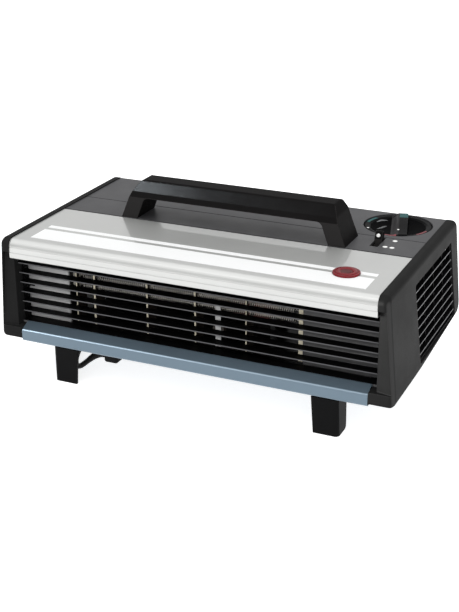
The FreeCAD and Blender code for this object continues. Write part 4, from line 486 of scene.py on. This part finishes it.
# Mains cord: the route, the turns of the put-away coil, and the lead to the plug, on one line
CORD = 6.4
ROUTE = [
    (-112.0, -112.7, 36.5), (-121.0, -112.5, 33.0), (-134.0, -110.2, 21.5), (-147.5, -104.7, 9.5),
    (-158.0, -96.2, 4.6), (-168.0, -81.7, 3.6), (-177.0, -61.7, 3.5), (-185.0, -37.7, 3.6),
    (-188.1, -8.0, 3.5), (-187.5, 26.0, 3.6), (-184.5, 59.8, 3.5), (-179.5, 93.0, 3.6),
    (-172.5, 125.8, 3.7), (-161.5, 156.0, 4.0), (-150.5, 180.4, 4.4), (-140.0, 198.9, 4.4)]
LEAD = [(15.0, 0.0, 0.0), (32.0, -3.5, -1.0), (48.0, -10.5, 0.6), (62.0, -19.5, 2.6), (73.0, -28.5, 2.6)]
COIL_OUTER, COIL_STEP, COIL_TURNS, LAYER = 44.0, 6.9, 4.2, 6.9
CLIMB_TURNS = 0.5
POINTS_A_TURN = 16

way = Vector(ROUTE[-1]) - Vector(ROUTE[-2])
way.z = 0
way.normalize()
spiral_start = Vector(ROUTE[-1]) + way * CORD
spiral_angle = math.atan2(way.y, way.x) + math.pi / 2 + math.atan2(COIL_STEP / (2 * math.pi), COIL_OUTER)
coil_centre = spiral_start - Vector((math.cos(spiral_angle), math.sin(spiral_angle), 0)) * COIL_OUTER


def coil_spot(turn):
    """Place in the coil after some turns: inwards in the lower layer, a climb, then outwards above it."""
    climb = min(max((turn - COIL_TURNS / 2) / CLIMB_TURNS + 0.5, 0.0), 1.0)
    radius = COIL_OUTER - COIL_STEP * min(turn, COIL_TURNS - turn)
    angle = spiral_angle - 2 * math.pi * turn
    rise = LAYER * climb * climb * (3 - 2 * climb)
    return coil_centre + Vector((radius * math.cos(angle), radius * math.sin(angle), rise))


steps = math.ceil(COIL_TURNS * POINTS_A_TURN)
turns = [coil_spot(COIL_TURNS * i / steps) for i in range(steps + 1)]
last_way = (coil_spot(COIL_TURNS) - coil_spot(COIL_TURNS - 0.002)).normalized()
coil_end = coil_spot(COIL_TURNS) + last_way * CORD
ahead = Vector((last_way.x, last_way.y, 0)).normalized()
beside = Vector((-ahead.y, ahead.x, 0))
lead = [coil_end + ahead * a + beside * b + Vector((0, 0, c)) for a, b, c in LEAD]
cord_points = [Vector(p) for p in ROUTE] + turns + [coil_end] + lead

curve = bpy.data.curves.new("mains_cord", "CURVE")
curve.dimensions = "3D"
spline = curve.splines.new("NURBS")
spline.points.add(len(cord_points) - 1)
for point, spot in zip(spline.points, cord_points):
    point.co = (*(spot * MM), 1.0)
spline.order_u = 3
spline.use_endpoint_u = True
spline.resolution_u = 6
line_object = bpy.data.objects.new("cord_line", curve.copy())
scene.collection.objects.link(line_object)
bpy.context.view_layer.update()
line_mesh = bpy.data.meshes.new_from_object(line_object.evaluated_get(bpy.context.evaluated_depsgraph_get()))
cord_line = [v.co.copy() for v in line_mesh.vertices]
bpy.data.objects.remove(line_object)
bpy.data.meshes.remove(line_mesh)
curve.bevel_depth = CORD / 2 * MM
curve.bevel_resolution = 5
curve.use_fill_caps = True
cord = piece("mains_cord", curve, [rubber], "heater", smooth=False)
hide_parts("power_cord", "cord_coil", "plug_lead")

# Tapered and ringed strain relief on the cord's first stretch
RELIEF, RELIEF_ROOT, RELIEF_TAPER = 24.0, 4.5, 1.1
PLAIN_ROOT, PLAIN_TIP = 5.0, 3.0
GROOVE_STEP, GROOVE_FROM, GROOVE_DEEP = 3.0, 1.9, 0.35
CUTS = 6
relief_line, relief_radii = [], []
gone = 0.0
for a, b in zip(cord_line, cord_line[1:]):
    for k in range(CUTS):
        at = (gone + (b - a).length * k / CUTS) / MM
        if at > RELIEF:
            break
        ringed = PLAIN_ROOT < at < RELIEF - PLAIN_TIP and at % GROOVE_STEP > GROOVE_FROM
        groove = GROOVE_DEEP if ringed else 0.0
        relief_line.append(a.lerp(b, k / CUTS))
        relief_radii.append((RELIEF_ROOT - RELIEF_TAPER * (at / RELIEF) - groove) * MM)
    gone += (b - a).length
relief_mesh = built("strain_relief", *tube_mesh(relief_line, relief_radii, 24))
piece("strain_relief", sharpen(relief_mesh, 50), [rubber], "heater")

# Fine resistance wire on the two rows of the element
WIRE_ROWS = {"upper": 116.5, "lower": 105.5}
WIRE_START, WIRE_END, WIRE_Y = -152.2, 116.2, -87.75
WIRE_TURNS, TURN_POINTS, TURN_R, WIRE_R = 104, 10, 3.2, 0.42
TAIL = 3.0
for row, z in WIRE_ROWS.items():
    first, last = WIRE_START + 2 * TAIL, WIRE_END - 2 * TAIL
    line = [mm(WIRE_START, WIRE_Y, z), mm(WIRE_START + TAIL, WIRE_Y, z)]
    for i in range(WIRE_TURNS * TURN_POINTS + 1):
        share = i / (WIRE_TURNS * TURN_POINTS)
        a = 2 * math.pi * WIRE_TURNS * share
        sag = 0.15 * math.sin(share * math.pi * 5.3 + z)
        line.append(mm(first + (last - first) * share, WIRE_Y + TURN_R * math.cos(a),
                       z + TURN_R * math.sin(a) + sag))
    line += [mm(WIRE_END - TAIL, WIRE_Y, z), mm(WIRE_END, WIRE_Y, z)]
    wire = built(row + "_wire", *tube_mesh(line, [WIRE_R * MM] * len(line), 6))
    made = piece(row + "_resistance_wire", wire, [heater_wire], "heater")
    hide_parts(row + "_heating_coil")

# Thermostat knob: a ring round two scooped recesses, with a bar across them that rises to the back
DIAL = (167.5, 85.75)
KNOB_R, KNOB_LOW, RING_TOP = 38.4, 159.7, 163.9
BAR_FRONT, BAR_TOP, BAR_MIDDLE = 165.2, 167.5, 5.6
SCOOP_LOW, SCOOP_RISE = 160.5, 1.5
KNOB_TURN = math.radians(15.0)


def on_dial(x, y, z):
    """Place of a point given across and along the knob's bar."""
    return mm(DIAL[0] + x * math.cos(KNOB_TURN) - y * math.sin(KNOB_TURN),
              DIAL[1] + x * math.sin(KNOB_TURN) + y * math.cos(KNOB_TURN), z)


def around(degrees, r):
    """Bar coordinates of a spot at an angle round the dial."""
    a = math.radians(degrees) - KNOB_TURN
    return r * math.cos(a), r * math.sin(a)


def ease(low, high, value):
    t = min(max((value - low) / (high - low), 0.0), 1.0)
    return t * t * (3 - 2 * t)


def knob_height(x, y):
    r = math.hypot(x, y)
    scoop = SCOOP_LOW + SCOOP_RISE * ease(10.0, 32.0, r)
    ground = scoop + (RING_TOP - 0.2 - scoop) * ease(31.0, 34.0, r)
    crest = BAR_FRONT + (BAR_TOP - BAR_FRONT) * ease(-32.0, 28.0, y) - 1.6 * ease(34.0, 36.6, abs(y))
    across = x - BAR_MIDDLE
    share = 1.0 - ease(5.0, 13.0, -across) if across < 0 else 1.0 - ease(5.0, 5.9, across)
    height = ground + max(crest - ground, 0.0) * share * (1.0 if r < 35.5 else 0.6)
    return height - 0.9 * ease(37.2, KNOB_R, r)


KNOB_SKINS = [knob_black, knob_lit_flank, teal_print, red_print, scoop_shade_black]
BLACK, LIT_FLANK, TEAL, RED, DEEP = range(len(KNOB_SKINS))


def knob_skin(x, y, bearing, on_top):
    """Which skin a face of the knob gets, from its place across and along the bar and round the dial."""
    r, off_bar = math.hypot(x, y), abs(x - BAR_MIDDLE)
    if on_top and off_bar < 4.9 and 19.0 < y < 35.0:
        return TEAL
    if on_top and 33.6 < r < 37.4 and x < -7.0 and 150.0 < bearing < 180.0:
        return TEAL
    if on_top and 34.0 < r < 36.4 and off_bar > 5.5 and (262.0 < bearing < 284.0 or 322.0 < bearing < 350.0):
        return RED
    # Painted highlight: the bar's left flank, the lit side of the black knob.
    if -8.0 < x < BAR_MIDDLE - 4.6 and r < 35.0:
        return LIT_FLANK
    # Painted shade: the scoops, darker than the rest of the knob.
    if off_bar > 5.2 and r < 31.5:
        return DEEP
    return BLACK


# A grid of the knob's top, with close columns at the bar's sides
INNER = [0.0, 1.0, 2.2, 3.6, 5.0, 6.4, 7.8, 9.2, 10.2, 10.7, 11.1, 11.6, 12.2]
ROWS, OUTER_STEPS = 120, 26
columns = [-s for s in reversed(INNER[1:])] + INNER
points, faces = [], []
for j in range(ROWS + 1):
    y = -KNOB_R * math.cos(math.pi * j / ROWS)
    half = math.sqrt(max(KNOB_R ** 2 - y * y, 0.0)) + 1e-4
    fit = min(1.0, half / 14.0)
    edge = INNER[-1] * fit
    spread = [edge + (half - edge) * (k / OUTER_STEPS) ** 0.85 for k in range(1, OUTER_STEPS + 1)]
    for x in [-s for s in reversed(spread)] + [c * fit for c in columns] + spread:
        points.append(on_dial(x, y, knob_height(x, y)))
width = len(columns) + 2 * OUTER_STEPS
for j in range(ROWS):
    for i in range(width - 1):
        faces.append((j * width + i, j * width + i + 1, (j + 1) * width + i + 1, (j + 1) * width + i))
knob_mesh = built("dial_knob", points, faces)
bm = bmesh.new()
bm.from_mesh(knob_mesh)
bmesh.ops.remove_doubles(bm, verts=bm.verts, dist=2e-5)
rim = [e for e in bm.edges if len(e.link_faces) == 1]
skirt = bmesh.ops.extrude_edge_only(bm, edges=rim)["geom"]
for v in skirt:
    if isinstance(v, bmesh.types.BMVert):
        v.co.z = KNOB_LOW * MM
bmesh.ops.contextual_create(bm, geom=[e for e in bm.edges if len(e.link_faces) == 1])
bmesh.ops.recalc_face_normals(bm, faces=bm.faces)
for face in bm.faces:
    centre = face.calc_center_median() / MM
    east, north = centre.x - DIAL[0], centre.y - DIAL[1]
    x = east * math.cos(KNOB_TURN) + north * math.sin(KNOB_TURN)
    y = north * math.cos(KNOB_TURN) - east * math.sin(KNOB_TURN)
    bearing = math.degrees(math.atan2(north, east)) % 360
    face.material_index = knob_skin(x, y, bearing, face.normal.z > 0.3)
# The extrusion leaves the skirt's faces in no fixed order, so they are sorted by their points
bm.verts.index_update()
for i, face in enumerate(sorted(bm.faces, key=lambda f: sorted(v.index for v in f.verts))):
    face.index = i
bm.faces.sort()
bm.to_mesh(knob_mesh)
bm.free()
knob = piece("dial_knob", sharpen(knob_mesh, 55), KNOB_SKINS, "dial")
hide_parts("thermostat_knob")

# Raised ribs in the left scoop, by bearing and radius, flat underneath where they lie in the knob. They
# stand in for highlight streaks on the scoop, and their pale metal finish is a painted highlight.
RIBS = (
    ((166.0, 29.5), (150.0, 28.5), (130.0, 26.0)),
    ((217.0, 27.0), (205.0, 19.0), (186.0, 15.0), (168.0, 13.8)))
RIB_STEPS, RIB_SUNK, RIB_END, RIB_SWELL = 24, 0.5, 0.25, 1.45
RIB_LOW = KNOB_LOW + 0.3
rib_radii = [(RIB_END + RIB_SWELL * math.sin(math.pi * i / RIB_STEPS)) * MM for i in range(RIB_STEPS + 1)]
ribs = []
for ends in RIBS:
    spots = [around(*end) for end in ends]
    path = []
    for i in range(RIB_STEPS + 1):
        t = i / RIB_STEPS * (len(spots) - 1)
        k = min(int(t), len(spots) - 2)
        x, y = (spots[k][n] + (spots[k + 1][n] - spots[k][n]) * (t - k) for n in (0, 1))
        path.append(on_dial(x, y, knob_height(x, y) - RIB_SUNK))
    rib, rib_faces = tube_mesh(path, rib_radii, 12)
    for point in rib:
        point.z = max(point.z, RIB_LOW * MM)
    ribs.append((rib, rib_faces))
rib_mesh = built("dial_ribs", *joined(ribs))
piece("dial_ribs", sharpen(rib_mesh, 60), [fan_metal], "dial")


def dot(x, y, z, radius, tall):
    """Low domed disc of print."""
    profile = [(0.0, tall), (radius * 0.6, tall), (radius * 0.92, tall * 0.75), (radius, 0.0)]
    return lathe(profile, (x, y, z), UP, 24)


# Two pale spots on the knob: bearing, radius on the dial, and size
pale = []
for bearing, r, size in ((214.0, 35.4, 1.5), (287.0, 19.0, 1.4)):
    x, y = around(bearing, r)
    spot = on_dial(x, y, 0.0) / MM
    pale.append(dot(spot.x, spot.y, knob_height(x, y) - 0.03, size, 0.12))
piece("dial_spots", welded(built("dial_spots", *joined(pale))), [white_print], "dial")

# Printed dots on the control panel, and the inlaid dot on the lever's slope
CASE_TOP = 164.5
PANEL_DOTS = ((180.5, 31.75), (175.9, 9.75), (183.7, 9.65))
panel_dots = [dot(x, y, CASE_TOP, 2.7, 0.08) for x, y in PANEL_DOTS]
piece("panel_dots", welded(built("panel_dots", *joined(panel_dots))), [white_print], "heater")
LEVER_DOT, LEVER_SLOPE = (163.3, 24.6, 170.8), Vector((0, -9.0, 4.0)).normalized()
LEVER_DOT_PROFILE = [(0.0, 0.3), (1.5, 0.28), (2.0, 0.18), (2.2, 0.0)]
lever_dot = lathe(LEVER_DOT_PROFILE, LEVER_DOT, LEVER_SLOPE, 28)
piece("lever_dot", welded(built("lever_dot", *lever_dot)), [white_print], "selector")

# Pilot lens: a stepped red button
LENS = (163.5, -82.05, CASE_TOP)
LENS_PROFILE = [
    (0.0, 2.0), (6.0, 2.0), (6.35, 2.1), (6.7, 2.5), (7.4, 2.75), (9.4, 3.0), (10.8, 2.95), (11.6, 2.6),
    (12.0, 1.9), (12.1, 0.2), (10.8, 0.0), (10.8, -9.0), (9.2, -9.0), (9.2, 0.0), (0.0, 0.4)]
LENS_FACE_R = 6.2
lens_mesh = welded(built("lens_button", *lathe(LENS_PROFILE, LENS, UP, 96)))
lens = piece("lens_button", sharpen(lens_mesh, 50), [red_clear, lens_centre_reflection], "heater")
# Painted reflection on the flat centre of the lens.
for polygon in lens_mesh.polygons:
    away = polygon.center / MM - Vector(LENS)
    if math.hypot(away.x, away.y) < LENS_FACE_R and away.z > 1.0:
        polygon.material_index = 1
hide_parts("pilot_lens")

# Screws with domed, cross-slotted heads
HEAD_HIGH, SHANK_R = 2.2, 1.6
HEAD_RINGS = [0.0, 0.5, 0.9, 1.3, 1.7, 2.1, 2.5, 2.9, 3.2, 3.4]
SLOT_HALF, SLOT_DEEP, SLOT_REACH = 0.55, 1.1, 2.0
HEAD_STEPS = 48


def cross_screw(at, axis, shank):
    turn = UP.rotation_difference(Vector(axis))
    head = HEAD_RINGS[-1]
    points = []
    for i in range(HEAD_STEPS):
        a = 2 * math.pi * i / HEAD_STEPS
        for r in HEAD_RINGS:
            x, y = r * math.cos(a), r * math.sin(a)
            dome = math.sqrt(max(1 - (r / (head * 1.08)) ** 2, 0.0))
            z = HEAD_HIGH * dome * 0.75 + HEAD_HIGH * 0.25
            reach = max(abs(x), abs(y))
            if min(abs(x), abs(y)) < SLOT_HALF and reach < SLOT_REACH:
                z -= SLOT_DEEP * (1 - (reach / (SLOT_REACH + 0.2)) ** 2)
            points.append((turn @ Vector((x, y, z)) + Vector(at)) * MM)
        points.append((turn @ Vector((head * math.cos(a), head * math.sin(a), 0)) + Vector(at)) * MM)
    faces = spoke_faces(len(HEAD_RINGS) + 1, HEAD_STEPS)
    profile = [(0.0, 0.0), (SHANK_R, 0.0), (SHANK_R, -shank), (0.0, -shank)]
    return joined([(points, faces), lathe(profile, at, axis, 20)])


# Rear screws in two rows, and those under the tray: place, way the head looks, and length of the shank
places = [((x, 128.25, 153.5), (0, 1, 0), 6.8) for x in (-190.0, 0.0, 190.0)]
places += [((x, 125.65, 52.0), (0, 1, 0), 4.2) for x in (-190.0, 0.0, 190.0)]
places += [((side * 199.0, y, 42.0), (0, 0, -1), 11.0) for side in (-1, 1) for y in (-77.75, 82.25)]
screw_mesh = welded(built("case_screw_heads", *joined([cross_screw(*p) for p in places])))
case = piece("case_screw_heads", sharpen(screw_mesh, 40), [screw_steel], "heater")
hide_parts("case_screws")

# Floor, whose glow shows to the camera, in reflections and through glass, and doesn't light the object
FLOOR_HALF, FLOOR_GLOW = 8, 0.8
corners = [(x * FLOOR_HALF, y * FLOOR_HALF, 0) for x, y in ((-1, -1), (1, -1), (1, 1), (-1, 1))]
floor_mesh = built("floor", corners, [(0, 1, 2, 3)])
floor = bpy.data.objects.new("floor", floor_mesh)
scene.collection.objects.link(floor)
paper = Surface("floor_paper", srgb(225, 225, 225), 0.9, 0.0, 0.1).mottle(0.006, 3.0)
paper.set("Emission Color", (1, 1, 1, 1))
rays = paper.node("ShaderNodeLightPath").outputs
seen = rays["Is Camera Ray"]
for other in ("Is Glossy Ray", "Is Transmission Ray"):
    total = paper.node("ShaderNodeMath", operation="ADD", use_clamp=True)
    paper.link(seen, total.inputs[0])
    paper.link(rays[other], total.inputs[1])
    seen = total.outputs[0]
paper.link(paper.span(seen, 0.0, 1.0, 0.0, FLOOR_GLOW), paper.shader.inputs["Emission Strength"])
floor_mesh.materials.append(paper.mat)

# Surroundings
world = bpy.data.worlds.new("studio")
scene.world = world
world.use_nodes = True
tree = world.node_tree
background = tree.nodes["Background"]
sky_place = tree.nodes.new("ShaderNodeTexCoord").outputs["Generated"]


def toward(direction, low, high, to_low, to_high):
    """Brightness that goes from one value to another as the sky turns to a direction."""
    turn = tree.nodes.new("ShaderNodeVectorMath")
    turn.operation = "DOT_PRODUCT"
    turn.inputs[1].default_value = Vector(direction).normalized()
    tree.links.new(sky_place, turn.inputs[0])
    span = tree.nodes.new("ShaderNodeMapRange")
    span.interpolation_type = "SMOOTHSTEP"
    set_range(span, low, high, to_low, to_high)
    tree.links.new(turn.outputs["Value"], span.inputs["Value"])
    return span.outputs["Result"]


def plus(first, second):
    node = tree.nodes.new("ShaderNodeMath")
    node.operation = "ADD"
    tree.links.new(first, node.inputs[0])
    tree.links.new(second, node.inputs[1])
    return node.outputs[0]


# Each lobe: its direction, the cosines where it starts and is full, and the brightness at both
WALLS = ((0.1, -1.0, 0.1), -0.5, 0.7, 0.62, 0.6)
OVERHEAD_PANEL = ((0.0, 0.0, 1.0), 0.62, 0.9, 0.0, 0.85)
FRONT_PANEL = ((-0.38, -0.6, 0.7), 0.9, 0.97, 0.0, 0.7)
RIGHT_WALL = ((1.0, 0.2, 0.0), -0.35, 0.05, 0.0, 0.08)
sky = toward(*WALLS)
for lobe in (OVERHEAD_PANEL, FRONT_PANEL, RIGHT_WALL):
    sky = plus(sky, toward(*lobe))
# The camera sees plain white
shown = tree.nodes.new("ShaderNodeMix")
shown.inputs["B"].default_value = 1.0
tree.links.new(tree.nodes.new("ShaderNodeLightPath").outputs["Is Camera Ray"], shown.inputs["Factor"])
tree.links.new(sky, shown.inputs["A"])
tree.links.new(shown.outputs["Result"], background.inputs["Strength"])
background.inputs["Color"].default_value = (1.0, 1.0, 1.0, 1.0)


def lamp(name, kind, power, direction):
    """A lamp that shines from a direction."""
    data = bpy.data.lights.new(name, kind)
    data.energy = power
    made = bpy.data.objects.new(name, data)
    made.rotation_mode = "QUATERNION"
    made.rotation_quaternion = Vector(direction).to_track_quat("Z", "Y")
    scene.collection.objects.link(made)
    return made


def gleam(name, place, at, size, power, colour, lit):
    """A panel that only shows as a reflection, on one piece."""
    made = lamp(name, "AREA", power, Vector(place) - Vector(at))
    made.data.size = size
    made.data.color = colour
    made.location = place
    made.visible_diffuse = False
    made.visible_camera = False
    made.light_linking.receiver_collection = bpy.data.collections.new(name + "_on")
    made.light_linking.receiver_collection.objects.link(nodes[lit])


key = lamp("key", "SUN", 1.0, (0.2, -1.0, 0.1))
key.data.angle = math.radians(60.0)
key.visible_glossy = False
gleam("gleam", (-1.25, -0.41, 1.8), (0.0, 0.0, 0.185), 0.6, 320.0, (0.86, 0.94, 1.0), "handle")
gleam("sill_gleam", (-1.24, -1.21, 1.05), (-0.2, -0.13, 0.06), 0.6, 14.0, (0.95, 0.98, 1.0), "base_tray")
gleam("cap_gleam", (-0.43, -0.88, 0.15), (0.22, -0.13, 0.1), 0.5, 300.0, (1.0, 1.0, 0.98), "right_end_cap")
